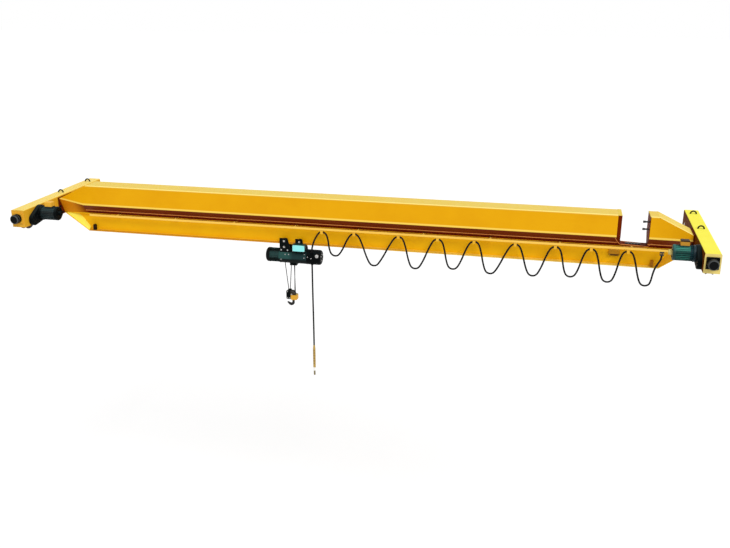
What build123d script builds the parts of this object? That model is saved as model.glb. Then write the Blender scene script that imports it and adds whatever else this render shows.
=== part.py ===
"""Single-girder overhead bridge crane with an underslung wire rope hoist.

The girder is a pressed trough welded over an I-beam, bolted between two end
carriages that run on rails.  The hoist hangs from the lower flange of the
I-beam, and a festoon cable on a C-track feeds it from the right-hand end.

Frame: millimetres, +X along the girder, +Y away from the festoon side, +Z up.
The origin is at mid-span, on the girder's centre plane, at rail-top level.
"""

import os
from math import asin, cos, hypot, pi, radians, sqrt, tan

from build123d import *

# Runway and end carriages
span = 10500.0  # rail centre to rail centre
wheel_base = 2000.0
wheel_tread_radius = 135.0
wheel_flange_height = 20.0
wheel_tread_width = 70.0
wheel_flange_width = 20.0
wheel_hub_radius = 62.0
wheel_hub_width = 130.0
wheel_web_width = 28.0
wheel_rim_depth = 32.0
axle_radius = 35.0
axle_cap_radius = 62.0
axle_cap_width = 14.0
running_clearance = 0.1
carriage_overhang = 210.0  # carriage beyond the wheels' centres
carriage_width = 220.0
carriage_height = 280.0
carriage_plate = 8.0
carriage_bend_radius = 16.0
carriage_above_rail = 50.0
wheel_pocket_length = 390.0
buffer_plate_size = 172.0
buffer_plate_width = 14.0
buffer_radius = 74.0
buffer_length = 105.0
buffer_groove = 7.0
buffer_above_carriage = 10.0  # buffer's axis over the carriage's middle
lug_ring_radius = 44.0
lug_rod_radius = 11.0
lug_setbacks = (70.0, 960.0)

# Travel drives on the carriages' inner sides
motor_from_wheel = 200.0  # motor axis from the wheel's axis, along the carriage
motor_above_wheel = 65.0
motor_core_radius = 101.0
motor_body_length = 240.0
motor_rib_count = 24
motor_rib_width = 7.0
motor_rib_height = 10.0
motor_cover_radius = 113.0
motor_cover_length = 38.0
motor_flange_radius = 119.0
motor_flange_length = 30.0
motor_nub_radius = 36.0
motor_nub_length = 46.0
motor_box_length = 120.0
motor_box_width = 100.0
motor_box_height = 80.0  # above the ribs
gear_case_width = 64.0
gear_case_motor_radius = 130.0
gear_case_wheel_radius = 96.0

# Girder: pressed trough above, I-beam below, inclined plates between them
girder_above_carriage = 200.0
girder_width = 400.0
trough_height = 330.0
trough_plate = 7.0
trough_bend_radius = 20.0
cover_plate = 6.0
beam_drop = 168.0  # trough's lower bend to the I-beam's top
seam_share = 0.62  # where lip and cover plate meet along the incline
beam_height = 320.0
beam_width = 130.0
beam_web = 9.5
beam_flange = 15.0
beam_root_radius = 11.0
end_plate = 20.0
end_plate_width = 436.0
end_plate_margin = 12.0  # beyond the trough's top, and half as much more below
top_taper_length = 490.0
top_taper_drop = 238.0
bottom_taper_length = 425.0
bottom_taper_rise = 300.0
left_rise_length = 430.0
left_rise_gap = 7.0  # web left between the rising edge and the sloping top
incline_foot_rise = 2.0
incline_foot_width = 144.0
gusset_skin = 8.0
gusset_margin = 2.0  # behind the flange's edge
# Shares along the taper, of the pocket's height, and of its depth at the top
gusset_stations = (
    (0.00, 0.17, 0.02),
    (0.26, 0.53, 0.02),
    (0.52, 0.99, 0.02),
    (0.75, 0.99, 0.85),
    (0.93, 0.95, 0.96),
)
beam_top_flange_stop = 40.0  # top flange stops short of the end plate

# Cut-out through the trough near the right end, lined with a frame
cutout_from_end = 612.0
cutout_length = 463.0
cutout_over_beam = 18.0
frame_left_leg = 57.0
frame_right_leg = 8.0
frame_floor = 8.0
frame_corner_radius = 60.0
strip_length = 220.0
strip_width = 70.0
strip_base = 5.0
strip_block_count = 5
strip_block_height = 9.0
stub_radius = 13.0
stub_length = 96.0
stub_knob_radius = 17.0
stub_knob_length = 34.0
stub_setback = 130.0
stub_depths = (200.0, 88.0)  # under the girder's top

# Fittings on the I-beam
stop_from_bend = 95.0
stop_length = 40.0
stop_height = 96.0
stop_depth = 56.0
switch_box_from_cutout = 3.0
switch_box_length = 154.0
switch_box_height = 92.0
switch_box_depth = 52.0
switch_box_drop = 118.0  # I-beam's top to the box's middle

# Festoon track and its cable carriers
track_setback = 150.0
track_under_beam_top = 24.0
track_height = 36.0
track_width = 40.0
track_plate = 3.0
track_slot = 14.0
track_left_gap = 520.0  # to the end plates
track_right_gap = 320.0
bracket_count = 9
bracket_length = 40.0
bracket_plate = 6.0
bracket_overhang = 22.0
cable_diameter = 28.0
cable_under_track = 32.0  # track's underside to the cable's centre over a carrier
carrier_spacings = (535.0, 718.0, 622.0, 571.0, 629.0, 602.0, 529.0, 535.0, 480.0)
clamp_from_track_end = 84.0
clamp_length = 60.0
clamp_width = 50.0
clamp_height = 60.0
carrier_block = (60.0, 24.0, 18.0)
carrier_neck = (30.0, 8.0)
carrier_yoke_length = 50.0
carrier_yoke_plate = 6.0
carrier_arm_plate = 5.0
carrier_arm_length = 44.0
carrier_gap = 3.0  # beside the cable
saddle_radius = 44.7
saddle_width = 48.0
saddle_depth = 16.0
seat_gap = 0.3

# Hoist under the girder
trolley_share = -0.1  # trolley's place along the span
lead_carrier_offset = 545.0  # nearest carrier from the trolley
hoist_left_reach = 440.0
hoist_right_reach = 495.0
hoist_drop = 217.0  # I-beam's underside to the drum axis
shell_left_reach = 210.0
shell_right_reach = 260.0
shell_radius = 122.0
shell_band = 12.0
shell_band_rise = 3.0
hoist_motor_radius = 106.0
hoist_motor_rib_height = 10.0
hoist_motor_rib_count = 28
hoist_motor_rib_width = 6.0
hoist_motor_cover_length = 64.0
hoist_motor_cover_radius = 119.0
hoist_end_fillet = 34.0
gearbox_radius = 124.0
gearbox_end_fillet = 36.0
boss_from_end = 51.0
boss_over_axis = 54.0
boss_radius = 28.0
boss_length = 34.0
gland_radius = 22.0
gland_length = 88.0
gland_from_end = 139.0
supply_gland_setback = 100.0
pendant_gland_setback = 95.0
gland_reach = 105.0  # drum axis to a gland's mouth, up or down
box_left_offset = 48.0
box_length = 214.0
box_over_beam = 26.0
box_height = 113.0
box_depth = 84.0
box_cover_depth = 14.0
box_cover_margin = 6.0
plate_inner_face = 80.0
plate_thickness = 12.0
plate_over_flange = 84.0
plate_spans = ((-195.0, -35.0), (75.0, 212.0))  # from the trolley's middle
plate_foot_growth = 46.0
plate_foot_over_axis = 65.0
trolley_wheel_offsets = (-115.0, 145.0)
trolley_wheel_radius = 38.0
trolley_wheel_inner = 28.0
trolley_rim_radius = 46.0
trolley_rim_inner = 70.5
trolley_hub_radius = 18.0
trolley_hub_proud = 10.0
tie_rod_radius = 14.0
tie_rod_drop = 44.0
guide_offset = 17.5
guide_length = 115.0
guide_width = 104.0
guide_under_shell = 31.0
guide_height = 98.0

# Hook block
rope_diameter = 13.0
sheave_offset = -26.0  # from the trolley's middle
sheave_drop = 667.0  # under the drum axis
sheave_rope_radius = 47.0
sheave_outer_radius = 54.0
sheave_width = 30.0
sheave_spacing = 40.0
rope_drum_leads = (-105.0, -8.0)  # where the left falls leave the drum, from the sheaves
anchor_leads = (62.0, 40.0)
cheek_plate = 10.0
cheek_left_reach = 94.0
cheek_width = 72.0
cheek_rise = 66.0
cheek_height = 155.0
cheek_corner = 20.0
block_half_width = 48.0
pin_radius = 14.0
crosshead_left_reach = 18.0
crosshead_right_reach = 88.0
crosshead_drop = 14.0
crosshead_height = 84.0
hook_bowl_drop = 50.0
hook_bowl_radius = 40.0
hook_bowl_turn = 125.0
hook_tip_run = 50.0
hook_sections = ((0.0, 21.0), (0.2, 21.0), (0.5, 25.0), (0.8, 19.0), (1.0, 12.0))  # share along, radius
shank_offset = 15.0  # from the sheaves' pin
collar_radius = 26.0
collar_height = 12.0

# Pendant control
pendant_cable_diameter = 28.0
pendant_drop = 1425.0  # length of the hanging cable
pendant_length = 410.0
pendant_width = 40.0
pendant_depth = 38.0
pendant_corner = 12.0
boot_length = 60.0
tail_length = 62.0
tail_width = 34.0
tip_length = 80.0
tip_radius = 15.0

# Levels and stations worked out from the driving dimensions
carriage_length = wheel_base + 2 * carriage_overhang
carriage_bottom = carriage_above_rail
carriage_top = carriage_bottom + carriage_height
girder_top = carriage_top + girder_above_carriage
web_bottom = girder_top - trough_height
beam_top = web_bottom - beam_drop
beam_bottom = beam_top - beam_height
flange_top = beam_bottom + beam_flange
carriage_inner = span / 2 - carriage_width / 2
carriage_outer = span / 2 + carriage_width / 2
girder_end = carriage_inner - end_plate
half_width = girder_width / 2
half_flange = beam_width / 2
top_flat = girder_end - top_taper_length
top_end_level = girder_top - top_taper_drop
bottom_flat = girder_end - bottom_taper_length
bottom_end_level = beam_bottom + bottom_taper_rise
left_rise_start = girder_end - left_rise_length
left_rise_level = top_end_level - left_rise_gap
incline_foot_level = beam_top + incline_foot_rise
end_plate_top = top_end_level + end_plate_margin
end_plate_bottom = bottom_end_level - 1.5 * end_plate_margin + beam_flange
cutout_right = girder_end - cutout_from_end
cutout_left = cutout_right - cutout_length
cutout_floor = beam_top + cutout_over_beam
stop_position = bottom_flat - stop_from_bend
motor_setback = wheel_base / 2 - motor_from_wheel
motor_height = wheel_tread_radius + motor_above_wheel
buffer_height = (carriage_bottom + carriage_top) / 2 + buffer_above_carriage
incline_run = half_width - half_flange
incline_length = hypot(incline_run, beam_drop)
seam_y = half_width - seam_share * incline_run
seam_z = web_bottom - seam_share * beam_drop
cover_foot = cover_plate * incline_length / beam_drop  # thickness along the level
hoist_axis = beam_bottom - hoist_drop
trolley_x = trolley_share * span
hoist_left = trolley_x - hoist_left_reach
hoist_right = trolley_x + hoist_right_reach
shell_left = trolley_x - shell_left_reach
shell_right = trolley_x + shell_right_reach
trolley_wheel_positions = [trolley_x + offset_x for offset_x in trolley_wheel_offsets]
gland_x = hoist_right - gland_from_end
supply_gland = (gland_x, -supply_gland_setback, hoist_axis + gland_reach)
pendant_gland = (gland_x, -pendant_gland_setback, hoist_axis - gland_reach + 5 * seat_gap)
box_left = trolley_x + box_left_offset
box_right = box_left + box_length
box_top = beam_bottom + box_over_beam
box_bottom = box_top - box_height
sheave_x = trolley_x + sheave_offset
sheave_z = hoist_axis - sheave_drop
cheek_left = sheave_x - cheek_left_reach
cheek_right = cheek_left + cheek_width
cheek_bottom = sheave_z + cheek_rise - cheek_height
crosshead_left = sheave_x - crosshead_left_reach
crosshead_right = sheave_x + crosshead_right_reach
crosshead_top = sheave_z - crosshead_drop
crosshead_bottom = crosshead_top - crosshead_height
shank_axis = sheave_x + shank_offset
track_top = beam_top + track_height - track_under_beam_top
track_bottom = track_top - track_height
track_left = track_left_gap - girder_end
track_right = girder_end - track_right_gap
clamp_position = track_right - clamp_from_track_end
clamp_bottom = track_bottom - clamp_height
cable_crest = track_bottom - cable_under_track
lead_carrier = trolley_x + lead_carrier_offset
spacing_scale = (clamp_position - lead_carrier) / sum(carrier_spacings)
carrier_positions = [
    lead_carrier + spacing_scale * sum(carrier_spacings[:index]) for index in range(len(carrier_spacings))
]
saddle_level = cable_crest - cable_diameter / 2 - seat_gap - saddle_radius
saddle_bottom = saddle_level + saddle_radius - saddle_depth

os.makedirs("parts", exist_ok=True)


def save(part, name):
    """Label a finished piece and write it to its own file."""
    part.label = name
    export_step(part, f"parts/{name}.step")


def offset_from(start, step):
    """Point that lies a step away from a start."""
    return tuple(a + b for a, b in zip(start, step))


def incline_y(level):
    """Distance of the inclined plate's outer face from the centre plane."""
    return half_flange + (level - beam_top) * incline_run / beam_drop


def bent_plate(points, plate, bend_radius):
    """Edges round a plate that is bent along points on its outer face."""
    with BuildLine() as outline:
        FilletPolyline(*points, radius=bend_radius)
        offset(amount=-plate, side=Side.RIGHT)
    return outline.edges()


# Girder


def slope_plate_outline(side):
    """Sloping top plate at one end of the trough, in the XZ plane."""
    drop = girder_top - top_end_level
    run = girder_end - top_flat
    depth = trough_plate * hypot(drop, run) / run
    return [
        (side * top_flat, girder_top),
        (side * girder_end, top_end_level),
        (side * girder_end, top_end_level - depth),
        (side * top_flat, girder_top - depth),
    ]


def trough(start, end, side):
    """Inverted U-trough with bent-in lips, sloping down to an end plate."""
    slope = slope_plate_outline(side)
    section = [
        (-seam_y, seam_z),
        (-half_width, web_bottom),
        (-half_width, girder_top),
        (half_width, girder_top),
        (half_width, web_bottom),
        (seam_y, seam_z),
    ]
    above_slope = [
        (side * top_flat, girder_top + end_plate),
        slope[3],
        slope[2],
        (side * girder_end, girder_top + end_plate),
    ]
    with BuildPart() as run:
        with BuildSketch(Plane.YZ.offset(start)):
            make_face(bent_plate(section, trough_plate, trough_bend_radius))
        extrude(amount=end - start)
        with BuildSketch(Plane.XZ):
            Polygon(*above_slope, align=None)
        extrude(amount=girder_width, both=True, mode=Mode.SUBTRACT)
        with BuildSketch(Plane.XZ):
            Polygon(*slope, align=None)
        extrude(amount=half_width, both=True)
        if side < 0:
            with BuildSketch(Plane.XZ):
                Polygon(
                    (-left_rise_start, web_bottom),
                    (-girder_end, left_rise_level),
                    (-girder_end, seam_z - end_plate),
                    (-left_rise_start, seam_z - end_plate),
                    align=None,
                )
            extrude(amount=girder_width, both=True, mode=Mode.SUBTRACT)
    return run.part


def inclined_plate(face):
    """Cover plate from the trough's lip to the I-beam, on one face of the girder."""
    seam_inner_y = seam_y - cover_plate * beam_drop / incline_length
    seam_inner_z = seam_z + cover_plate * incline_run / incline_length
    end_foot = incline_foot_width / 2
    end_thickness = cover_plate * hypot(half_width - end_foot, left_rise_level - incline_foot_level)
    end_thickness /= left_rise_level - incline_foot_level
    with BuildPart() as plate:
        with BuildSketch(Plane.YZ.offset(-left_rise_start)):
            Polygon(
                (face * seam_y, seam_z),
                (face * half_flange, beam_top),
                (face * (half_flange - cover_foot), beam_top),
                (face * seam_inner_y, seam_inner_z),
                align=None,
            )
        extrude(amount=left_rise_start + girder_end)
        with BuildSketch(Plane.YZ.offset(-left_rise_start)):
            Polygon(
                (face * half_width, web_bottom),
                (face * half_flange, beam_top),
                (face * (half_flange - cover_foot), beam_top),
                (face * (half_width - cover_foot), web_bottom),
                align=None,
            )
        with BuildSketch(Plane.YZ.offset(-girder_end)):
            Polygon(
                (face * half_width, left_rise_level),
                (face * end_foot, incline_foot_level),
                (face * (end_foot - end_thickness), incline_foot_level),
                (face * (half_width - end_thickness), left_rise_level),
                align=None,
            )
        loft(ruled=True)
        with BuildSketch(Plane.XZ):
            with Locations(((cutout_left + cutout_right) / 2, cutout_floor)):
                Rectangle(cutout_right - cutout_left, trough_height, align=(Align.CENTER, Align.MIN))
        extrude(amount=girder_width, both=True, mode=Mode.SUBTRACT)
    return plate.part


def lower_flange_outline():
    """Lower flange of the I-beam, bent up at both ends, in the XZ plane."""
    rise = bottom_end_level - beam_bottom
    run = girder_end - bottom_flat
    depth = beam_flange * hypot(rise, run) / run
    under = [
        (-girder_end, bottom_end_level),
        (-bottom_flat, beam_bottom),
        (bottom_flat, beam_bottom),
        (girder_end, bottom_end_level),
    ]
    over = [
        (girder_end, bottom_end_level + depth),
        (bottom_flat, flange_top),
        (-bottom_flat, flange_top),
        (-girder_end, bottom_end_level + depth),
    ]
    return under + over


def i_beam():
    """Rolled I-beam whose lower flange bends up to meet the end plates."""
    flange = lower_flange_outline()
    top_flange_end = girder_end - beam_top_flange_stop
    with BuildPart() as beam:
        with BuildSketch(Plane.YZ.offset(-bottom_flat)):
            with Locations((0, beam_bottom)):
                Rectangle(beam_width, beam_height, align=(Align.CENTER, Align.MIN))
            pocket_width = (beam_width - beam_web) / 2
            for face in (-1, 1):
                with Locations((face * (beam_web + pocket_width) / 2, (beam_top + beam_bottom) / 2)):
                    Rectangle(pocket_width, beam_height - 2 * beam_flange, mode=Mode.SUBTRACT)
        extrude(amount=2 * bottom_flat)
        roots = beam.edges().filter_by(Axis.X).group_by(lambda e: round(abs(e.center().Y), 3))[0]
        fillet(roots, beam_root_radius)
        with BuildSketch(Plane.XZ):
            Polygon(*flange, align=None)
        extrude(amount=half_flange, both=True)
        with BuildSketch(Plane.XZ):
            with Locations((0, beam_top)):
                Rectangle(2 * top_flange_end, beam_flange, align=(Align.CENTER, Align.MAX))
        extrude(amount=half_flange, both=True)
        with BuildSketch(Plane.XZ):
            Polygon(
                flange[0],
                flange[1],
                flange[2],
                flange[3],
                (girder_end, incline_foot_level),
                (top_flange_end, beam_top),
                (-top_flange_end, beam_top),
                (-girder_end, incline_foot_level),
                align=None,
            )
        extrude(amount=beam_web / 2, both=True)
    return beam.part


def end_gussets():
    """Skins that close the I-beam's pockets where its lower flange bends up."""
    inner = beam_web / 2 + seat_gap
    depth = half_flange - gusset_margin - inner
    ceiling = beam_top - beam_flange - seat_gap
    end_floor = lower_flange_outline()[4][1]
    with BuildPart() as gusset:
        for along, height, top in gusset_stations:
            floor = flange_top + along * (end_floor - flange_top)
            level = floor + height * (ceiling - floor)
            with BuildSketch(Plane.YZ.offset(bottom_flat + along * bottom_taper_length)):
                Polygon(
                    (-inner - depth, floor),
                    (-inner, floor),
                    (-inner, level),
                    (-inner - top * depth, level),
                    align=None,
                )
        loft(ruled=True)
        hollow = gusset.part.moved(Location((0, gusset_skin, -gusset_skin)))
        add(hollow, mode=Mode.SUBTRACT)
    right_pair = gusset.part + mirror(gusset.part, about=Plane.XZ)
    return right_pair + mirror(right_pair, about=Plane.YZ)


def end_plates():
    """Bolting plates between the girder and the end carriages."""
    middle = (end_plate_top + end_plate_bottom) / 2
    with BuildPart() as plates:
        for side in (-1, 1):
            with Locations((side * (girder_end + end_plate / 2), 0, middle)):
                Box(end_plate, end_plate_width, end_plate_top - end_plate_bottom)
    return plates.part


def cutout_frame():
    """U-shaped frame that lines the cut-out and closes the trough's cut ends."""
    floor_half = incline_y(cutout_floor)
    opening_left = cutout_left + frame_left_leg
    opening_right = cutout_right - frame_right_leg
    with BuildPart() as frame:
        with BuildSketch(Plane.YZ.offset(cutout_left)):
            Polygon(
                (-half_width, girder_top),
                (half_width, girder_top),
                (half_width, web_bottom),
                (floor_half, cutout_floor),
                (-floor_half, cutout_floor),
                (-half_width, web_bottom),
                align=None,
            )
        extrude(amount=cutout_right - cutout_left)
        with BuildSketch(Plane.XZ) as opening:
            with Locations((opening_left, cutout_floor + frame_floor)):
                Rectangle(
                    opening_right - opening_left,
                    2 * trough_height,
                    align=(Align.MIN, Align.MIN),
                )
            left_corners = opening.vertices().group_by(Axis.X)[0]
            fillet(left_corners.sort_by(Axis.Y)[0], frame_corner_radius)
        extrude(amount=girder_width, both=True, mode=Mode.SUBTRACT)
    return frame.part


def terminal_strip():
    """Row of terminal blocks standing on the floor of the cut-out."""
    middle = (cutout_left + frame_left_leg + cutout_right - frame_right_leg) / 2
    floor = cutout_floor + frame_floor
    pitch = strip_length / strip_block_count
    with BuildPart() as strip:
        with Locations((middle, 0, floor)):
            Box(strip_length, strip_width, strip_base, align=(Align.CENTER, Align.CENTER, Align.MIN))
        with Locations((middle, 0, floor + strip_base)):
            with GridLocations(pitch, 1, strip_block_count, 1):
                Box(
                    pitch * 0.7,
                    strip_width * 0.7,
                    strip_block_height,
                    align=(Align.CENTER, Align.CENTER, Align.MIN),
                )
    return strip.part


def cable_stubs():
    """Two conduit stubs with knobs, on the right leg of the cut-out frame."""
    root = cutout_right - frame_right_leg
    with BuildPart() as stubs:
        for depth in stub_depths:
            level = girder_top - depth
            with BuildSketch(Plane.YZ.offset(root)):
                with Locations((-stub_setback, level)):
                    Circle(stub_radius)
            extrude(amount=-stub_length)
            with BuildSketch(Plane.YZ.offset(root - stub_length)):
                with Locations((-stub_setback, level)):
                    Circle(stub_knob_radius)
            extrude(amount=stub_knob_length)
    return stubs.part


def end_stops():
    """Stop blocks on both faces of the I-beam's web, above the lower flange."""
    inner = beam_web / 2
    outer = inner + stop_depth
    top = flange_top + stop_height
    corner = stop_depth / 5
    outline = [
        (inner, flange_top + beam_root_radius),
        (inner + beam_root_radius, flange_top),
        (outer, flange_top),
        (outer, top - corner),
        (outer - corner, top),
        (inner, top),
    ]
    with BuildPart() as stops:
        for side in (-1, 1):
            for face in (-1, 1):
                with BuildSketch(Plane.YZ.offset(side * stop_position)):
                    Polygon(*[(face * y, z) for y, z in outline], align=None)
                extrude(amount=stop_length / 2, both=True)
    return stops.part


def switch_box():
    """Small housing on the front of the I-beam's web."""
    with BuildPart() as box:
        with Locations((cutout_left - switch_box_from_cutout, -beam_web / 2, beam_top - switch_box_drop)):
            Box(
                switch_box_length,
                switch_box_depth,
                switch_box_height,
                align=(Align.CENTER, Align.MAX, Align.CENTER),
            )
        fillet(box.edges().filter_by(Axis.Y), switch_box_height / 12)
    return box.part


# End carriages, wheels and drives


def end_carriage(side):
    """Pressed channel with closed ends and open wheel pockets underneath."""
    x_centre = side * span / 2
    half = carriage_width / 2
    floor_length = carriage_length - 2 * wheel_pocket_length - 2 * carriage_plate
    channel = [
        (x_centre - half, carriage_bottom),
        (x_centre - half, carriage_top),
        (x_centre + half, carriage_top),
        (x_centre + half, carriage_bottom),
    ]
    with BuildPart() as carriage:
        with BuildSketch(Plane.XZ):
            make_face(bent_plate(channel, carriage_plate, carriage_bend_radius))
        extrude(amount=carriage_length / 2, both=True)
        inner_width = carriage_width - 2 * carriage_plate
        with Locations((x_centre, 0, carriage_bottom)):
            Box(inner_width, floor_length, carriage_plate, align=(Align.CENTER, Align.CENTER, Align.MIN))
        for end in (-1, 1):
            with BuildSketch(Plane.XZ.offset(end * carriage_length / 2)):
                with Locations((x_centre, carriage_bottom)):
                    Rectangle(
                        carriage_width - carriage_plate,
                        carriage_height - carriage_bend_radius / 2,
                        align=(Align.CENTER, Align.MIN),
                    )
            extrude(amount=-end * carriage_plate)
        for end in (-1, 1):
            with Locations((x_centre, end * wheel_base / 2, wheel_tread_radius)):
                Cylinder(
                    axle_radius + running_clearance,
                    carriage_width + carriage_plate,
                    rotation=(0, 90, 0),
                    mode=Mode.SUBTRACT,
                )
    return carriage.part


def wheel(side, end):
    """Double-flanged travel wheel, turned about its axle."""
    centre = (side * span / 2, end * wheel_base / 2, wheel_tread_radius)
    tread = wheel_tread_width / 2
    face = tread + wheel_flange_width
    rim_inner = wheel_tread_radius - wheel_rim_depth
    flange = wheel_tread_radius + wheel_flange_height
    hub = wheel_hub_width / 2
    web = wheel_web_width / 2
    bore = axle_radius + running_clearance
    right_half = [
        (hub, bore),
        (hub, wheel_hub_radius),
        (web, wheel_hub_radius),
        (web, rim_inner),
        (face, rim_inner),
        (face, flange - wheel_flange_height / 3),
        (face - wheel_flange_width / 3, flange),
        (tread + wheel_flange_width / 4, flange),
        (tread, wheel_tread_radius),
    ]
    left_half = [(-x, r) for x, r in reversed(right_half)]
    with BuildPart() as turned:
        with BuildSketch(Plane(origin=centre, x_dir=(1, 0, 0), z_dir=(0, -1, 0))):
            Polygon(*right_half, *left_half, align=None)
        revolve(axis=Axis(centre, (1, 0, 0)))
    return turned.part


def wheel_axles():
    """Fixed axles through the carriages, capped on the outer side."""
    with BuildPart() as axles:
        for side in (-1, 1):
            for end in (-1, 1):
                y, z = end * wheel_base / 2, wheel_tread_radius
                with BuildSketch(Plane.YZ.offset(side * carriage_inner)):
                    with Locations((y, z)):
                        Circle(axle_radius)
                extrude(amount=side * carriage_width)
                with BuildSketch(Plane.YZ.offset(side * carriage_outer)):
                    with Locations((y, z)):
                        Circle(axle_cap_radius)
                extrude(amount=side * axle_cap_width)
        outer_rims = axles.edges().filter_by(GeomType.CIRCLE).group_by(lambda e: round(abs(e.center().X), 2))[-1]
        chamfer(outer_rims, axle_cap_width / 3)
    return axles.part


def buffers():
    """Rubber buffers on square plates at the four carriage ends."""
    with BuildPart() as rubbers:
        for side in (-1, 1):
            for end in (-1, 1):
                x, y = side * span / 2, end * carriage_length / 2
                with Locations((x, y + end * buffer_plate_width / 2, buffer_height)):
                    Box(buffer_plate_size, buffer_plate_width, buffer_plate_size)
                root = (x, y + end * buffer_plate_width, buffer_height)
                profile = Plane(origin=root, x_dir=(1, 0, 0), z_dir=(0, 0, end))
                with BuildSketch(profile):
                    with BuildLine():
                        Polyline(
                            (0, 0),
                            (buffer_radius, 0),
                            (buffer_radius, buffer_length * 0.45),
                            (buffer_radius - buffer_groove, buffer_length * 0.5),
                            (buffer_radius, buffer_length * 0.55),
                            (buffer_radius, buffer_length * 0.85),
                            (buffer_radius * 0.8, buffer_length),
                            (0, buffer_length),
                            close=True,
                        )
                    make_face()
                revolve(axis=Axis(root, (0, end, 0)))
    return rubbers.part


def lifting_lugs():
    """Half-ring lifting lugs on the carriages' tops."""
    with BuildPart() as lugs:
        for side in (-1, 1):
            for setback in lug_setbacks:
                foot = (side * span / 2, setback, carriage_top)
                with BuildSketch(Plane(origin=foot, x_dir=(1, 0, 0), z_dir=(0, 0, 1))):
                    with Locations((lug_ring_radius, 0)):
                        Circle(lug_rod_radius)
                revolve(axis=Axis(foot, (0, 1, 0)), revolution_arc=-180)
    return lugs.part


def gear_case():
    """Cast gear case between the right-hand carriage and its motor."""
    with BuildPart() as case:
        with BuildSketch(Plane.YZ.offset(carriage_inner - gear_case_width)):
            with Locations((-motor_setback, motor_height)):
                Circle(gear_case_motor_radius)
            with Locations((-wheel_base / 2, wheel_tread_radius)):
                Circle(gear_case_wheel_radius)
            make_hull()
        extrude(amount=gear_case_width)
        outer = case.faces().sort_by(Axis.X)[0]
        fillet(outer.edges(), gear_case_width / 5)
    return case.part


def motor_stations():
    """Where the right-hand motor's flange, body and end cover begin."""
    flange = carriage_inner - gear_case_width
    body = flange - motor_flange_length
    cover = body - motor_body_length
    return flange, body, cover


def travel_motor():
    """Ribbed motor body of the right-hand drive, with a terminal box on top."""
    flange, body, cover = motor_stations()
    box_reach = motor_core_radius + motor_rib_height + motor_box_height
    with BuildPart() as motor:
        with BuildSketch(Plane.YZ.offset(cover)):
            with Locations((-motor_setback, motor_height)):
                Circle(motor_core_radius)
                with PolarLocations(motor_core_radius, motor_rib_count):
                    Rectangle(2 * motor_rib_height, motor_rib_width)
        extrude(amount=motor_body_length)
        with Locations(((body + cover) / 2, -motor_setback, motor_height)):
            Box(
                motor_box_length,
                motor_box_width,
                box_reach,
                align=(Align.CENTER, Align.CENTER, Align.MIN),
            )
        lid = motor.faces().sort_by(Axis.Z)[-1]
        chamfer(lid.edges(), motor_box_height / 10)
    return motor.part


def motor_covers():
    """End cover with its bearing nub, and mounting flange, of the right-hand drive."""
    flange, body, cover = motor_stations()
    with BuildPart() as covers:
        with BuildSketch(Plane.YZ.offset(cover)):
            with Locations((-motor_setback, motor_height)):
                Circle(motor_cover_radius)
        extrude(amount=-motor_cover_length)
        rim = covers.edges().filter_by(GeomType.CIRCLE).sort_by(Axis.X)[0]
        fillet(rim, motor_cover_length / 2)
        with BuildSketch(Plane.YZ.offset(cover - motor_cover_length)):
            with Locations((-motor_setback, motor_height)):
                Circle(motor_nub_radius)
        extrude(amount=-motor_nub_length)
        with BuildSketch(Plane.YZ.offset(body)):
            with Locations((-motor_setback, motor_height)):
                Circle(motor_flange_radius)
        extrude(amount=motor_flange_length)
    return covers.part


# Festoon track, carriers and cable


def festoon_track():
    """C-section rail with its slot underneath, along the front of the I-beam."""
    half_slot, half = track_slot / 2, track_width / 2
    outline = [
        (-half_slot, track_bottom),
        (-half, track_bottom),
        (-half, track_top),
        (half, track_top),
        (half, track_bottom),
        (half_slot, track_bottom),
    ]
    with BuildPart() as track:
        with BuildSketch(Plane.YZ.offset(track_left)):
            with BuildLine():
                Polyline(*[(y - track_setback, z) for y, z in outline])
                offset(amount=-track_plate, side=Side.RIGHT)
            make_face()
        extrude(amount=track_right - track_left)
    return track.part


def track_brackets():
    """Flat brackets that carry the track from the inclined plate."""
    pitch = (track_right - track_left) / bracket_count
    reach = track_setback + bracket_overhang
    upper = track_top + bracket_plate
    with BuildPart() as brackets:
        for index in range(bracket_count):
            middle = track_left + (index + 0.5) * pitch
            with BuildSketch(Plane.YZ.offset(middle - bracket_length / 2)):
                Polygon(
                    (-reach, track_top),
                    (-incline_y(track_top), track_top),
                    (-incline_y(upper), upper),
                    (-reach, upper),
                    align=None,
                )
            extrude(amount=bracket_length)
    return brackets.part


def carrier(x):
    """Cable carrier: roller block in the track, yoke, two arms and a saddle."""
    y = -track_setback
    block_length, block_width, block_height = carrier_block
    neck_length, neck_width = carrier_neck
    block_bottom = track_bottom + track_plate + seat_gap
    arm_face = cable_diameter / 2 + carrier_gap
    yoke_bottom = -carrier_yoke_plate
    with BuildPart() as body:
        with Locations((x, y, block_bottom)):
            Box(block_length, block_width, block_height, align=(Align.CENTER, Align.CENTER, Align.MIN))
        with Locations((x, y, yoke_bottom)):
            Box(neck_length, neck_width, block_bottom - yoke_bottom, align=(Align.CENTER, Align.CENTER, Align.MIN))
            Box(
                carrier_yoke_length,
                2 * (arm_face + carrier_arm_plate),
                carrier_yoke_plate,
                align=(Align.CENTER, Align.CENTER, Align.MIN),
            )
        for face in (-1, 1):
            with Locations((x, y + face * (arm_face + carrier_arm_plate / 2), 0)):
                Box(
                    carrier_arm_length,
                    carrier_arm_plate,
                    -saddle_bottom,
                    align=(Align.CENTER, Align.CENTER, Align.MAX),
                )
        with BuildSketch(Plane.XZ.offset(track_setback)):
            with Locations((x, saddle_level)):
                Circle(saddle_radius)
            with Locations((x, saddle_bottom)):
                Rectangle(
                    saddle_width,
                    saddle_radius,
                    align=(Align.CENTER, Align.MIN),
                    mode=Mode.INTERSECT,
                )
        extrude(amount=arm_face, both=True)
    return body.part


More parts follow.
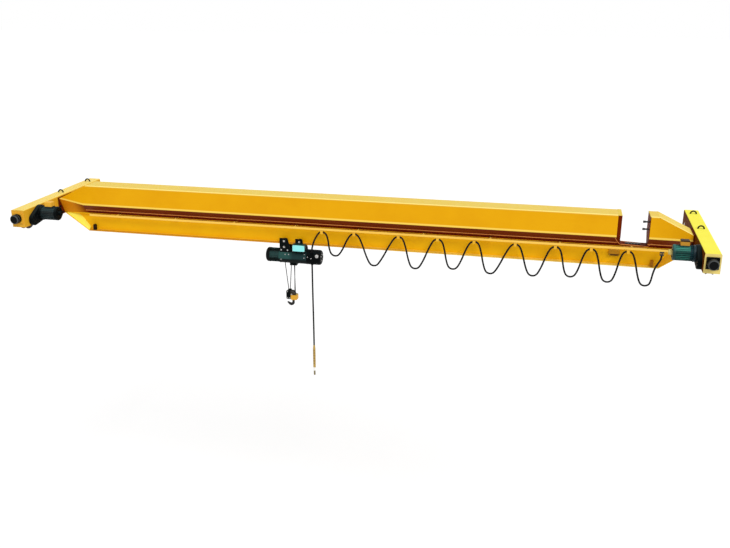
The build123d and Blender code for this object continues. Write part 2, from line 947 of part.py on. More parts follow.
def end_clamp():
    """Clamp under the track that holds the fixed end of the festoon cable."""
    with BuildPart() as clamp:
        with Locations((clamp_position, -track_setback, clamp_bottom)):
            Box(
                clamp_length,
                clamp_width,
                track_bottom - clamp_bottom,
                align=(Align.CENTER, Align.CENTER, Align.MIN),
            )
        fillet(clamp.edges().filter_by(Axis.Z), clamp_width / 8)
    return clamp.part


# Hanging loops: where the low point lies along the spacing, and how deep it hangs
loop_lows = (0.41, 0.45, 0.44, 0.44, 0.42, 0.475, 0.47, 0.50, 0.585)
loop_sags = (385.0, 505.0, 505.0, 469.0, 500.0, 487.0, 460.0, 502.0, 519.0)
last_loop_climb = ((0.806, 0.537), (0.908, 0.315), (1.00, 0.165))  # shares of spacing and sag
bend_run = 46.0
bend_drop = 44.0
side_bow = 5.0
crest_half_run = 34.0
# Lead from the hoist's gland up to the nearest carrier, from the gland's mouth
lead_offsets = (
    (0.0, 0.0, 0.0),
    (0.0, 0.0, 48.0),
    (24.0, -18.0, 142.0),
    (60.0, -35.0, 235.0),
    (112.0, -47.0, 322.0),
)


def half_loop(crest, low, sag):
    """Points (x, depth) down one side of a hanging loop, from crest to low point."""
    way = 1 if low > crest else -1
    reach = crest_half_run + bend_run
    upper = (crest + way * reach, bend_drop)
    lower = (low - way * reach, sag - bend_drop)
    between = []
    for share, bow in ((1 / 3, side_bow), (2 / 3, -side_bow)):
        x = upper[0] + share * (lower[0] - upper[0]) + way * bow
        between.append((x, upper[1] + share * (lower[1] - upper[1])))
    return [upper, *between, lower, (low - way * crest_half_run, sag)]


def festoon_route():
    """Points of the festoon cable, from the hoist to the end clamp."""
    stations = list(carrier_positions) + [clamp_position]
    points = [offset_from(supply_gland, step) for step in lead_offsets]
    for left, right, share, sag in zip(stations, stations[1:], loop_lows, loop_sags):
        low = left + share * (right - left)
        climb = half_loop(right, low, sag)[::-1]
        if right == clamp_position:
            climb = climb[:2]
            climb += [(left + along * (right - left), down * sag) for along, down in last_loop_climb]
        line = [(left - crest_half_run, 0), (left + crest_half_run, 0), *half_loop(left, low, sag), *climb]
        points += [(x, -track_setback, cable_crest - depth) for x, depth in line]
    points.append((clamp_position, -track_setback, clamp_bottom))
    return points


def corner_radii(points):
    """Largest arcs that the runs of a cord leave room for."""
    vectors = [Vector(*b) - Vector(*a) for a, b in zip(points, points[1:])]
    radii = []
    for before, after in zip(vectors, vectors[1:]):
        half_turn = radians(before.get_angle(after)) / 2
        radii.append(0.45 * min(before.length, after.length) / tan(half_turn))
    return radii


def cord(points, diameter):
    """Tube along straight runs joined by tangent arcs."""
    radii = corner_radii(points)
    with BuildPart() as tube:
        with BuildLine() as route:
            FilletPolyline(*points, radius=radii)
        with BuildSketch(Plane(origin=points[0], z_dir=route.line % 0)):
            Circle(diameter / 2)
        sweep()
    length = sum(edge.length for edge in route.edges())
    swept = pi * diameter**2 / 4 * length
    print(f"cord length {length:.0f}, volume over section times length {tube.part.volume / swept:.4f}")
    print("corner radii", [round(r) for r in radii])
    return tube.part


# Hoist


def hoist_circle(radius):
    """Circle on the drum axis, inside a sketch across the hoist."""
    with Locations((0, hoist_axis)):
        Circle(radius)


def hoist_motor():
    """Ribbed lifting motor with a domed cover at the hoist's left end."""
    ribs_left = hoist_left + hoist_motor_cover_length
    with BuildPart() as motor:
        with BuildSketch(Plane.YZ.offset(ribs_left)):
            with Locations((0, hoist_axis)):
                Circle(hoist_motor_radius)
                with PolarLocations(hoist_motor_radius, hoist_motor_rib_count):
                    Rectangle(2 * hoist_motor_rib_height, hoist_motor_rib_width)
        extrude(amount=shell_left - ribs_left)
        with BuildSketch(Plane.YZ.offset(ribs_left)):
            hoist_circle(hoist_motor_cover_radius)
        extrude(amount=-hoist_motor_cover_length)
        rim = motor.edges().filter_by(GeomType.CIRCLE).sort_by(Axis.X)[0]
        fillet(rim, hoist_end_fillet)
    return motor.part


def hoist_shell():
    """Drum shell with a raised band at each end."""
    with BuildPart() as shell:
        with BuildSketch(Plane.YZ.offset(shell_left)):
            hoist_circle(shell_radius)
        extrude(amount=shell_right - shell_left)
        for start in (shell_left, shell_right - shell_band):
            with BuildSketch(Plane.YZ.offset(start)):
                hoist_circle(shell_radius + shell_band_rise)
            extrude(amount=shell_band)
    return shell.part


def hoist_gearbox():
    """Gearbox with a rounded end, and the glands of both cables."""
    with BuildPart() as box:
        with BuildSketch(Plane.YZ.offset(shell_right)):
            hoist_circle(gearbox_radius)
        extrude(amount=hoist_right - shell_right)
        rim = box.edges().filter_by(GeomType.CIRCLE).sort_by(Axis.X)[-1]
        fillet(rim, gearbox_end_fillet)
        for mouth, rise in ((supply_gland, 1), (pendant_gland, -1)):
            with BuildSketch(Plane(origin=mouth, z_dir=(0, 0, rise))):
                Circle(gland_radius)
            extrude(amount=-gland_length)
    return box.part


def gearbox_boss():
    """Turned boss on the front of the gearbox."""
    surface = sqrt(gearbox_radius**2 - boss_over_axis**2)
    with BuildPart() as boss:
        with BuildSketch(Plane.XZ.offset(surface - boss_length / 2)):
            with Locations((hoist_right - boss_from_end, hoist_axis + boss_over_axis)):
                Circle(boss_radius)
        extrude(amount=boss_length)
        front = boss.faces().sort_by(Axis.Y)[0]
        with BuildSketch(front):
            Circle(boss_radius / 2)
        extrude(amount=-boss_length / 4, mode=Mode.SUBTRACT)
        with BuildSketch(Plane.YZ.offset(shell_right)):
            hoist_circle(gearbox_radius)
        extrude(amount=hoist_right - shell_right, mode=Mode.SUBTRACT)
    return boss.part


def trolley_plates(face):
    """Pair of hanger plates on one face, saddled on the drum shell."""
    inner = face * plate_inner_face
    with BuildPart() as plates:
        for start, stop in plate_spans:
            left = trolley_x + start
            right = trolley_x + stop
            with BuildSketch(Plane.XZ.offset(-inner)):
                Polygon(
                    (left, flange_top + plate_over_flange),
                    (right - plate_foot_growth / 2, flange_top + plate_over_flange),
                    (right + plate_foot_growth / 2, hoist_axis + shell_radius),
                    (right + plate_foot_growth / 2, hoist_axis + plate_foot_over_axis),
                    (left, hoist_axis + plate_foot_over_axis),
                    align=None,
                )
            extrude(amount=-face * plate_thickness)
        with BuildSketch(Plane.YZ.offset(hoist_left)):
            hoist_circle(shell_radius)
        extrude(amount=hoist_right - hoist_left, mode=Mode.SUBTRACT)
        for x in trolley_wheel_positions:
            with Locations((x, inner, flange_top + seat_gap + trolley_wheel_radius)):
                Cylinder(
                    trolley_hub_radius + running_clearance,
                    4 * plate_thickness,
                    rotation=(90, 0, 0),
                    mode=Mode.SUBTRACT,
                )
            with Locations((x, inner, beam_bottom - tie_rod_drop)):
                Cylinder(
                    tie_rod_radius + running_clearance,
                    4 * plate_thickness,
                    rotation=(90, 0, 0),
                    mode=Mode.SUBTRACT,
                )
    return plates.part


def trolley_wheels():
    """Four flanged wheels on the lower flange of the I-beam."""
    level = flange_top + seat_gap + trolley_wheel_radius
    hub_end = plate_inner_face + plate_thickness + trolley_hub_proud
    profile = [
        (trolley_wheel_inner, 0),
        (trolley_wheel_inner, trolley_wheel_radius),
        (trolley_rim_inner, trolley_wheel_radius),
        (trolley_rim_inner, trolley_rim_radius),
        (plate_inner_face - seat_gap, trolley_rim_radius),
        (plate_inner_face - seat_gap, trolley_hub_radius),
        (hub_end, trolley_hub_radius),
        (hub_end, 0),
    ]
    with BuildPart() as wheels:
        for x in trolley_wheel_positions:
            for face in (-1, 1):
                centre = (x, 0, level)
                with BuildSketch(Plane(origin=centre, x_dir=(0, face, 0), z_dir=(face, 0, 0))):
                    Polygon(*profile, align=None)
                revolve(axis=Axis(centre, (0, 1, 0)))
    return wheels.part


def tie_rods():
    """Rods that tie the front and rear hanger plates together under the flange."""
    length = 2 * (plate_inner_face + plate_thickness + trolley_hub_proud)
    with BuildPart() as rods:
        for x in trolley_wheel_positions:
            with Locations((x, 0, beam_bottom - tie_rod_drop)):
                Cylinder(tie_rod_radius, length, rotation=(90, 0, 0))
    return rods.part


def control_box():
    """Electrical box on the front hanger plates."""
    back = plate_inner_face + plate_thickness
    with BuildPart() as box:
        with Locations(((box_left + box_right) / 2, -back, (box_top + box_bottom) / 2)):
            Box(
                box_right - box_left,
                box_depth,
                box_top - box_bottom,
                align=(Align.CENTER, Align.MAX, Align.CENTER),
            )
        hub_level = flange_top + seat_gap + trolley_wheel_radius
        for x in trolley_wheel_positions:
            for level in (hub_level, beam_bottom - tie_rod_drop):
                with Locations((x, -back, level)):
                    Cylinder(
                        trolley_hub_radius + trolley_hub_proud / 2,
                        3 * trolley_hub_proud,
                        rotation=(90, 0, 0),
                        mode=Mode.SUBTRACT,
                    )
    return box.part


def control_box_cover():
    """Bare cover on the front of the electrical box."""
    face = plate_inner_face + plate_thickness + box_depth
    with BuildPart() as cover:
        with Locations(((box_left + box_right) / 2, -face, (box_top + box_bottom) / 2)):
            Box(
                box_right - box_left - 2 * box_cover_margin,
                box_cover_depth,
                box_top - box_bottom - 2 * box_cover_margin,
                align=(Align.CENTER, Align.MAX, Align.CENTER),
            )
        fillet(cover.edges().filter_by(Axis.Y), box_cover_margin)
        chamfer(cover.faces().sort_by(Axis.Y)[0].edges(), box_cover_depth / 4)
    return cover.part


def rope_guide():
    """Guide block under the drum shell, where the rope comes out."""
    with BuildPart() as guide:
        with Locations((trolley_x + guide_offset, 0, hoist_axis - shell_radius - guide_under_shell)):
            Box(
                guide_length,
                guide_width,
                guide_height,
                align=(Align.CENTER, Align.CENTER, Align.MIN),
            )
        with BuildSketch(Plane.YZ.offset(shell_left)):
            hoist_circle(shell_radius)
        extrude(amount=shell_right - shell_left, mode=Mode.SUBTRACT)
        for (top, bottom) in rope_falls_ends():
            with BuildLine():
                Line(top, bottom)
            with BuildSketch(Plane(origin=top, z_dir=Vector(*bottom) - Vector(*top))):
                Circle(rope_diameter)
            sweep(mode=Mode.SUBTRACT)
    return guide.part


# Hook block


def rope_falls_ends():
    """Top and bottom of each rope fall, two on each sheave."""
    top = hoist_axis - shell_radius - seat_gap
    falls = []
    for index, y in enumerate((-sheave_spacing / 2, sheave_spacing / 2)):
        for lead, side in ((rope_drum_leads[index], -1), (anchor_leads[index], 1)):
            bottom = (sheave_x + side * sheave_rope_radius, y, sheave_z)
            falls.append(((sheave_x + lead, y, top), bottom))
    return falls


def rope_falls():
    """Four straight falls of wire rope between the drum and the sheaves."""
    with BuildPart() as falls:
        for top, bottom in rope_falls_ends():
            with BuildLine():
                Line(top, bottom)
            with BuildSketch(Plane(origin=top, z_dir=Vector(*bottom) - Vector(*top))):
                Circle(rope_diameter / 2)
            sweep()
    return falls.part


def sheaves():
    """Two grooved sheaves on one pin."""
    x, z = sheave_x, sheave_z
    groove = sheave_rope_radius - rope_diameter / 2 - 4 * seat_gap
    half = sheave_width / 2
    lip = rope_diameter / 2 + 2 * seat_gap
    profile = [
        (-half, pin_radius),
        (-half, sheave_outer_radius),
        (-lip, sheave_outer_radius),
        (-lip, groove),
        (lip, groove),
        (lip, sheave_outer_radius),
        (half, sheave_outer_radius),
        (half, pin_radius),
    ]
    with BuildPart() as wheels:
        for y in (-sheave_spacing / 2, sheave_spacing / 2):
            with BuildSketch(Plane(origin=(x, y, z), x_dir=(0, 1, 0), z_dir=(1, 0, 0))):
                Polygon(*profile, align=None)
            revolve(axis=Axis((x, y, z), (0, 1, 0)))
        with Locations((x, 0, z)):
            Cylinder(pin_radius, 2 * block_half_width, rotation=(90, 0, 0))
    return wheels.part


def block_cheeks():
    """Rounded cheek plates on the left half of the hook block."""
    with BuildPart() as cheeks:
        for face in (-1, 1):
            with BuildSketch(Plane.XZ.offset(-face * (block_half_width - cheek_plate))) as outline:
                with Locations((cheek_left, cheek_bottom)):
                    Rectangle(
                        cheek_right - cheek_left,
                        cheek_height,
                        align=(Align.MIN, Align.MIN),
                    )
                fillet(outline.vertices().group_by(Axis.X)[0], cheek_corner)
            extrude(amount=-face * cheek_plate)
    return cheeks.part


def crosshead():
    """Crosshead casting that carries the sheave pin and the hook."""
    x, z = sheave_x, sheave_z
    wall = block_half_width - sheave_spacing / 2 - sheave_width / 2 - seat_gap
    with BuildPart() as casting:
        with Locations(((crosshead_left + crosshead_right) / 2, 0, crosshead_bottom)):
            Box(
                crosshead_right - crosshead_left,
                2 * block_half_width,
                crosshead_top - crosshead_bottom,
                align=(Align.CENTER, Align.CENTER, Align.MIN),
            )
        for face in (-1, 1):
            with BuildSketch(Plane.XZ.offset(-face * block_half_width)):
                with Locations((x, z)):
                    Circle(2.0 * pin_radius)
                Polygon(
                    (x - pin_radius, z),
                    (x + 2 * pin_radius, z),
                    (crosshead_right, crosshead_top),
                    (crosshead_left, crosshead_top),
                    align=None,
                )
                with Locations((cheek_right + seat_gap, z)):
                    Rectangle(6 * pin_radius, 6 * pin_radius, align=(Align.MAX, Align.CENTER), mode=Mode.SUBTRACT)
            extrude(amount=face * wall)
        with Locations((x, 0, z)):
            Cylinder(
                sheave_outer_radius + rope_diameter / 2,
                2 * (block_half_width - wall),
                rotation=(90, 0, 0),
                mode=Mode.SUBTRACT,
            )
            Cylinder(pin_radius + running_clearance, 4 * block_half_width, rotation=(90, 0, 0), mode=Mode.SUBTRACT)
        fillet(casting.edges().filter_by(Axis.Y).group_by(Axis.Z)[0], cheek_corner / 3)
    return casting.part


def hook():
    """Forged hook: a straight shank, a thickened bowl and a turned-out tip."""
    shank_top = crosshead_bottom - seat_gap
    with BuildPart() as forged:
        with BuildLine(Plane.XZ) as spine:
            bowl_level = crosshead_bottom - hook_bowl_drop
            shank = Line((shank_axis, shank_top - collar_height), (shank_axis, bowl_level))
            bowl = JernArc(shank @ 1, shank % 1, hook_bowl_radius, -hook_bowl_turn)
            Line(bowl @ 1, bowl @ 1 + hook_tip_run * (bowl % 1))
        path = spine.wires()[0]
        for share, radius in hook_sections:
            station = path.location_at(share)
            with BuildSketch(Plane(station)):
                Circle(radius)
        sweep(path=path, multisection=True)
        with BuildSketch(Plane.XY.offset(shank_top)):
            with Locations((shank_axis, 0)):
                Circle(collar_radius)
        extrude(amount=-collar_height)
    return forged.part


# Pendant control

# Steps from the pendant's gland down to its boot
pendant_offsets = (
    (0.0, 0.0, 0.0),
    (0.0, 0.0, -315.0),
    (3.0, -1.0, -695.0),
    (6.0, 0.0, -1075.0),
    (6.0, 0.0, -pendant_drop),
)
pendant_points = [offset_from(pendant_gland, step) for step in pendant_offsets]


def pendant_station():
    """Slim push-button housing under a tapered boot."""
    x, y, top = pendant_points[-1]
    with BuildPart() as station:
        with BuildSketch(Plane((x, y, top))):
            Circle(pendant_cable_diameter / 2 + seat_gap)
        with BuildSketch(Plane((x, y, top - boot_length))):
            Circle(pendant_width / 2)
        loft()
        with BuildSketch(Plane((x, y, top - boot_length))):
            RectangleRounded(pendant_width, pendant_depth, pendant_corner)
        extrude(amount=-(pendant_length - boot_length))
    return station.part


def pendant_tail():
    """Pale lower end of the pendant with its small tip."""
    x, y, top = pendant_points[-1]
    start = top - pendant_length
    with BuildPart() as tail:
        with BuildSketch(Plane((x, y, start))):
            RectangleRounded(tail_width, tail_width, pendant_corner)
        extrude(amount=-tail_length)
        with BuildSketch(Plane((x, y, start - tail_length))):
            Circle(tip_radius)
        extrude(amount=-tip_length)
    return tail.part


# Pieces, one file each

save(trough(-girder_end, cutout_left, -1), "main_trough")
save(trough(cutout_right, girder_end, 1), "end_trough")
save(inclined_plate(-1), "front_inclined_plate")
save(inclined_plate(1), "rear_inclined_plate")
save(i_beam(), "lower_i_beam")
save(end_gussets(), "end_gussets")
save(end_plates(), "girder_end_plates")
save(cutout_frame(), "cutout_frame")
save(terminal_strip(), "terminal_strip")
save(cable_stubs(), "cable_stubs")
save(end_stops(), "trolley_end_stops")
save(switch_box(), "switch_box")

for side, side_name in ((-1, "left"), (1, "right")):
    save(end_carriage(side), f"{side_name}_end_carriage")
    for end, end_name in ((-1, "front"), (1, "rear")):
        save(wheel(side, end), f"{side_name}_{end_name}_wheel")
save(wheel_axles(), "wheel_axles")
save(buffers(), "rubber_buffers")
save(lifting_lugs(), "lifting_lugs")
for make, name in ((gear_case, "gear_case"), (travel_motor, "travel_motor"), (motor_covers, "motor_covers")):
    right_piece = make()
    save(mirror(right_piece, about=Plane.YZ), f"left_{name}")
    save(right_piece, f"right_{name}")

save(festoon_track(), "festoon_track")
save(track_brackets(), "track_brackets")
for number, x in enumerate(carrier_positions, 1):
    save(carrier(x), f"festoon_carrier_{number}")
save(end_clamp(), "cable_end_clamp")
save(cord(festoon_route(), cable_diameter), "festoon_cable")

save(hoist_motor(), "hoist_motor")
save(hoist_shell(), "hoist_drum_shell")
save(hoist_gearbox(), "hoist_gearbox")
save(gearbox_boss(), "gearbox_boss")
save(trolley_plates(-1), "front_trolley_plates")
save(trolley_plates(1), "rear_trolley_plates")
save(trolley_wheels(), "trolley_wheels")
save(tie_rods(), "trolley_tie_rods")
save(control_box(), "control_box")
save(control_box_cover(), "control_box_cover")
save(rope_guide(), "rope_guide")
save(rope_falls(), "rope_falls")
save(sheaves(), "sheaves")
save(block_cheeks(), "block_cheeks")
save(crosshead(), "block_crosshead")
save(hook(), "hook")
save(cord(pendant_points, pendant_cable_diameter), "pendant_cable")
save(pendant_station(), "pendant_station")
save(pendant_tail(), "pendant_tail")
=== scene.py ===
"""Looks of a single-girder overhead bridge crane: paint, fasteners, welds, ropes and cables."""

from math import cos, pi, radians, sin, sqrt, tau

import bmesh
import bpy
from mathutils import Matrix, Vector


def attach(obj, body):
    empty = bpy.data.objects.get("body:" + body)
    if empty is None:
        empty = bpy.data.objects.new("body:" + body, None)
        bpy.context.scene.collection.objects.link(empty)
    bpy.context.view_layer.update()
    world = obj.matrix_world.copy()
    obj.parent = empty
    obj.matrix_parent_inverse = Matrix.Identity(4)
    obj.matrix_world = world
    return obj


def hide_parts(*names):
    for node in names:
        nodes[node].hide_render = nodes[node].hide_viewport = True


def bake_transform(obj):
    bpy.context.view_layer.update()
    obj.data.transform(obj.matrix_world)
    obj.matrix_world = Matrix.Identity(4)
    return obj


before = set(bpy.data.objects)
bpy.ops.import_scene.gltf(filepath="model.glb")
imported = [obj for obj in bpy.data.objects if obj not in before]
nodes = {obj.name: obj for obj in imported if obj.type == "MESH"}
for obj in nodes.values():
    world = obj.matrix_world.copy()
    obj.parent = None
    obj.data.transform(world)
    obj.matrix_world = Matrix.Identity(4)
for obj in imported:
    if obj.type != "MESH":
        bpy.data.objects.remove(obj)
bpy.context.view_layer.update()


# Sizes shared with the solids, in metres
span = 10.5
carriage_inner = 5.140
carriage_width = 0.220
girder_end = 5.120
carriage_end = 1.210
wheel_axis = 0.135
wheel_setback = 1.0
motor_setback = 0.8
motor_height = 0.2
buffer_height = 0.2
hoist_axis = -0.505
beam_web = 0.00475  # half its thickness
track_setback = 0.150
cable_diameter = 0.028
cable_crest = -0.024
carrier_positions = (-0.505, 0.030, 0.748, 1.370, 1.941, 2.570, 3.172, 3.701, 4.236)
carrier_count = len(carrier_positions)
clamp_position = 4.716
clamp_bottom = -0.052


# Materials


def linear(*rgb):
    """Scene-linear colour of an sRGB colour given as 0 to 255."""
    channels = [c / 255 for c in rgb]
    return [c / 12.92 if c <= 0.04045 else ((c + 0.055) / 1.055) ** 2.4 for c in channels] + [1.0]


class Surface:
    """A material under construction: a Principled shader and the nodes that feed it."""

    def __init__(self, name):
        self.material = bpy.data.materials.new(name)
        self.material.use_nodes = True
        self.tree = self.material.node_tree
        self.shader = self.tree.nodes["Principled BSDF"]
        self.place = self.node("ShaderNodeTexCoord").outputs["Object"]
        facing = self.node("ShaderNodeNewGeometry").outputs["Normal"]
        self.axes = {}
        for prefix, source in (("", self.place), ("n", facing)):
            parts = self.node("ShaderNodeSeparateXYZ")
            self.link(source, parts.inputs[0])
            for axis in "xyz":
                self.axes[prefix + axis] = parts.outputs[axis.upper()]

    def node(self, kind, **values):
        made = self.tree.nodes.new(kind)
        for key, value in values.items():
            setattr(made, key, value)
        return made

    def link(self, source, target):
        self.tree.links.new(source, target)

    def noise(self, scale, detail=4.0, roughness=0.55, stretch=None):
        """Noise value over the object, with an optional stretch along the axes."""
        texture = self.node("ShaderNodeTexNoise")
        texture.inputs["Scale"].default_value = scale
        texture.inputs["Detail"].default_value = detail
        texture.inputs["Roughness"].default_value = roughness
        source = self.place
        if stretch:
            mapping = self.node("ShaderNodeMapping")
            mapping.inputs["Scale"].default_value = stretch
            self.link(self.place, mapping.inputs["Vector"])
            source = mapping.outputs["Vector"]
        self.link(source, texture.inputs["Vector"])
        return texture.outputs["Fac"]

    def ramp(self, source, low, high, bottom=0.0, top=1.0):
        """Value that rises from bottom to top as the source goes from low to high."""
        step = self.node("ShaderNodeMapRange", interpolation_type="SMOOTHSTEP")
        for key, value in zip(("From Min", "From Max", "To Min", "To Max"), (low, high, bottom, top)):
            step.inputs[key].default_value = value
        self.link(source, step.inputs["Value"])
        return step.outputs["Result"]

    def times(self, first, second):
        """Product of two values."""
        product = self.node("ShaderNodeMath", operation="MULTIPLY")
        for value, socket in zip((first, second), product.inputs):
            if isinstance(value, (int, float)):
                socket.default_value = value
            else:
                self.link(value, socket)
        return product.outputs[0]

    def mix(self, factor, first, second):
        """Colour that goes from first to second with the factor."""
        blend = self.node("ShaderNodeMix", data_type="RGBA")
        self.link(factor, blend.inputs["Factor"])
        for value, socket in zip((first, second), (blend.inputs[6], blend.inputs[7])):
            if isinstance(value, (list, tuple)):
                socket.default_value = value
            else:
                self.link(value, socket)
        return blend.outputs[2]

    def within(self, ranges, soft):
        """Mask of the surface whose place (x y z) or facing (nx ny nz) lies within ranges.

        A range is (low, high), or (low, high, its own softness)."""
        mask = None
        for key, (low, high, *own) in ranges.items():
            fade = own[0] if own else soft
            if low is not None:
                rise = self.ramp(self.axes[key], low - fade, low + fade)
                mask = rise if mask is None else self.times(mask, rise)
            if high is not None:
                fall = self.ramp(self.axes[key], high - fade, high + fade, 1.0, 0.0)
                mask = fall if mask is None else self.times(mask, fall)
        return mask

    def edges(self, radius=0.006, low=0.03, high=0.3):
        """Mask of sharp edges, from the difference that a rounded normal makes."""
        bevel = self.node("ShaderNodeBevel", samples=4)
        bevel.inputs["Radius"].default_value = radius
        compare = self.node("ShaderNodeVectorMath", operation="DOT_PRODUCT")
        self.link(bevel.outputs["Normal"], compare.inputs[0])
        self.link(self.node("ShaderNodeNewGeometry").outputs["Normal"], compare.inputs[1])
        return self.ramp(compare.outputs["Value"], 1 - low, 1 - high)

    def bump(self, source, strength, distance):
        """Adds height from a source to the shader's normal."""
        height = self.node("ShaderNodeBump")
        height.inputs["Strength"].default_value = strength
        height.inputs["Distance"].default_value = distance
        self.link(source, height.inputs["Height"])
        if self.shader.inputs["Normal"].is_linked:
            self.link(self.shader.inputs["Normal"].links[0].from_socket, height.inputs["Normal"])
        self.link(height.outputs["Normal"], self.shader.inputs["Normal"])

    def colour(self, source):
        self.link(source, self.shader.inputs["Base Color"])

    def roughness(self, source, low, high):
        self.link(self.ramp(source, 0.3, 0.7, low, high), self.shader.inputs["Roughness"])


def paint(name, body, shade, worn, top=None, zones=(), gloss=0.45, specular=0.12, lift=None):
    """Brushed or sprayed paint: cloudy colour, tops painted in the tone that their light gives them, colour
    zones, chipped edges, orange peel.

    A zone is (ranges, softness, colour); lift adds the axis "edge", a height over a sloping edge."""
    s = Surface(name)
    s.shader.inputs["Specular IOR Level"].default_value = specular
    if lift:
        slope = s.node("ShaderNodeMapRange")
        for key, value in zip(("From Min", "From Max", "To Min", "To Max"), lift):
            slope.inputs[key].default_value = value
        s.link(s.axes["x"], slope.inputs["Value"])
        height = s.node("ShaderNodeMath", operation="SUBTRACT")
        s.link(s.axes["z"], height.inputs[0])
        s.link(slope.outputs["Result"], height.inputs[1])
        s.axes["edge"] = height.outputs[0]
    clouds = s.noise(1.7, 5.0, 0.6)
    streaks = s.noise(6.0, 4.0, 0.6, (0.25, 1.0, 3.0))
    base = s.mix(s.ramp(clouds, 0.35, 0.7), body, shade)
    base = s.mix(s.ramp(streaks, 0.55, 0.8, 0.0, 0.35), base, shade)
    # Painted light and shade: tops take the top colour, the tone that the lamps give them
    if top:
        painted_top_light = s.within({"nz": (0.55, None)}, 0.3)
        base = s.mix(s.times(painted_top_light, s.ramp(clouds, 0.2, 0.75, 0.8, 1.0)), base, top)
    for ranges, soft, colour in zones:
        patch = s.within(ranges, soft)
        base = s.mix(s.times(patch, s.ramp(streaks, 0.2, 0.8, 0.95, 1.0)), base, colour)
    chips = s.times(s.edges(), s.ramp(s.noise(38.0, 3.0), 0.5, 0.62))
    s.colour(s.mix(chips, base, worn))
    s.roughness(s.noise(24.0, 3.0), gloss - 0.06, gloss + 0.1)
    s.bump(s.noise(420.0, 2.0), 0.12, 0.0006)
    s.bump(s.noise(3.2, 3.0), 0.12, 0.004)
    return s.material


def bare_metal(name, colour, dark, roughness=0.32, turned=900.0):
    """Turned or brushed steel with fine grooves and dark smears."""
    s = Surface(name)
    smear = s.noise(16.0, 5.0, 0.65)
    s.colour(s.mix(s.ramp(smear, 0.4, 0.72), colour, dark))
    s.shader.inputs["Metallic"].default_value = 0.9
    s.roughness(s.noise(60.0, 3.0), roughness - 0.08, roughness + 0.14)
    s.bump(s.noise(turned, 2.0, 0.5, (1.0, 0.06, 0.06)), 0.15, 0.0004)
    return s.material


def plastic(name, body, shade, roughness=0.42, grain=700.0, zones=()):
    """Moulded plastic with a fine grain."""
    s = Surface(name)
    base = s.mix(s.ramp(s.noise(9.0, 4.0), 0.4, 0.7), body, shade)
    for ranges, soft, colour in zones:
        base = s.mix(s.within(ranges, soft), base, colour)
    s.colour(base)
    s.roughness(s.noise(45.0, 3.0), roughness - 0.08, roughness + 0.1)
    s.bump(s.noise(grain, 2.0), 0.2, 0.0003)
    return s.material


def rubber(name, body, dusty, grain=900.0, roughness=0.5, specular=0.12, zones=()):
    """Black rubber, greyed with dust where it faces up."""
    s = Surface(name)
    s.shader.inputs["Specular IOR Level"].default_value = specular
    dust = s.times(s.within({"nz": (0.5, None)}, 0.4), s.ramp(s.noise(30.0, 4.0), 0.35, 0.7))
    base = s.mix(dust, body, dusty)
    for ranges, soft, colour in zones:
        base = s.mix(s.within(ranges, soft), base, colour)
    s.colour(base)
    s.roughness(s.noise(50.0, 3.0), roughness - 0.06, roughness + 0.12)
    s.bump(s.noise(grain, 2.0), 0.25, 0.0003)
    return s.material


def forged(name, body, rust):
    """Blackened forging or casting with a pebbled skin and rust in patches."""
    s = Surface(name)
    patches = s.noise(26.0, 5.0, 0.65)
    s.colour(s.mix(s.ramp(patches, 0.56, 0.78), body, rust))
    s.shader.inputs["Metallic"].default_value = 0.35
    s.roughness(patches, 0.42, 0.66)
    s.bump(s.noise(190.0, 4.0, 0.6), 0.3, 0.001)
    return s.material


def wire_rope(name, body, dark):
    """Steel rope: slanting strands with grease between them."""
    s = Surface(name)
    lay = s.node("ShaderNodeTexWave", wave_type="BANDS", bands_direction="DIAGONAL")
    lay.inputs["Scale"].default_value = 46.0
    lay.inputs["Distortion"].default_value = 0.6
    s.link(s.place, lay.inputs["Vector"])
    s.colour(s.mix(s.ramp(lay.outputs["Fac"], 0.25, 0.75), dark, body))
    s.shader.inputs["Metallic"].default_value = 0.7
    s.roughness(s.noise(80.0, 3.0), 0.35, 0.55)
    s.bump(lay.outputs["Fac"], 0.7, 0.0015)
    return s.material


yellow = linear(236, 171, 6)
yellow_shade = linear(231, 164, 4)
# Painted light: the pale tone of lit tops
painted_lit_top = linear(234, 205, 90)
# Painted highlights where the girder's bends catch the light
painted_bend_highlight = linear(254, 214, 90)
painted_edge_highlight = linear(255, 231, 126)
primer = linear(96, 38, 8)
# Painted shade: the dark red tone of down-facing plates in shade
painted_shade_brown = linear(108, 26, 0)
# Painted light: the tone of the inclined plates where lit
orange = linear(228, 142, 14)
# Painted light: the bright tone of lit gussets
painted_lit_lemon = linear(254, 240, 92)

trough_paint = paint(
    "trough_paint",
    yellow,
    yellow_shade,
    primer,
    painted_lit_top,
    (
        # Painted highlight along the front edge of the top
        ({"nz": (0.85, None), "y": (None, -0.140)}, 0.008, painted_edge_highlight),
        # Painted shade on the top bend
        ({"nz": (0.12, 0.80), "ny": (None, -0.4)}, 0.06, linear(220, 160, 26)),
        # Painted highlight on the lower bend
        ({"edge": (0.195, 0.227)}, 0.004, painted_bend_highlight),
        # Painted shade: the lip below the lower bend takes the dark tone of the shaded recess
        ({"edge": (None, 0.195)}, 0.003, painted_shade_brown),
    ),
    specular=0.08,
    lift=(-5.120, -4.690, 0.085, 0.0),
)
beam_paint = paint(
    "beam_paint",
    linear(255, 194, 8),
    linear(251, 186, 6),
    primer,
    painted_lit_top,
    (
        # Painted shade along the bottom flange's edge to the left, painted highlight on it to the right
        ({"z": (None, -0.270), "x": (None, 1.0, 2.0)}, 0.003, linear(206, 146, 28)),
        ({"z": (None, -0.268), "x": (1.0, None, 2.0)}, 0.003, linear(244, 206, 84)),
    ),
    specular=0.08,
)
# Painted light: the gussets are coloured bright as lit; the right ones a deeper yellow, less lit
gusset_paint = paint(
    "gusset_paint",
    painted_lit_lemon,
    linear(254, 232, 76),
    primer,
    painted_lit_lemon,
    (({"x": (0.0, None)}, 0.1, linear(240, 172, 20)),),
)
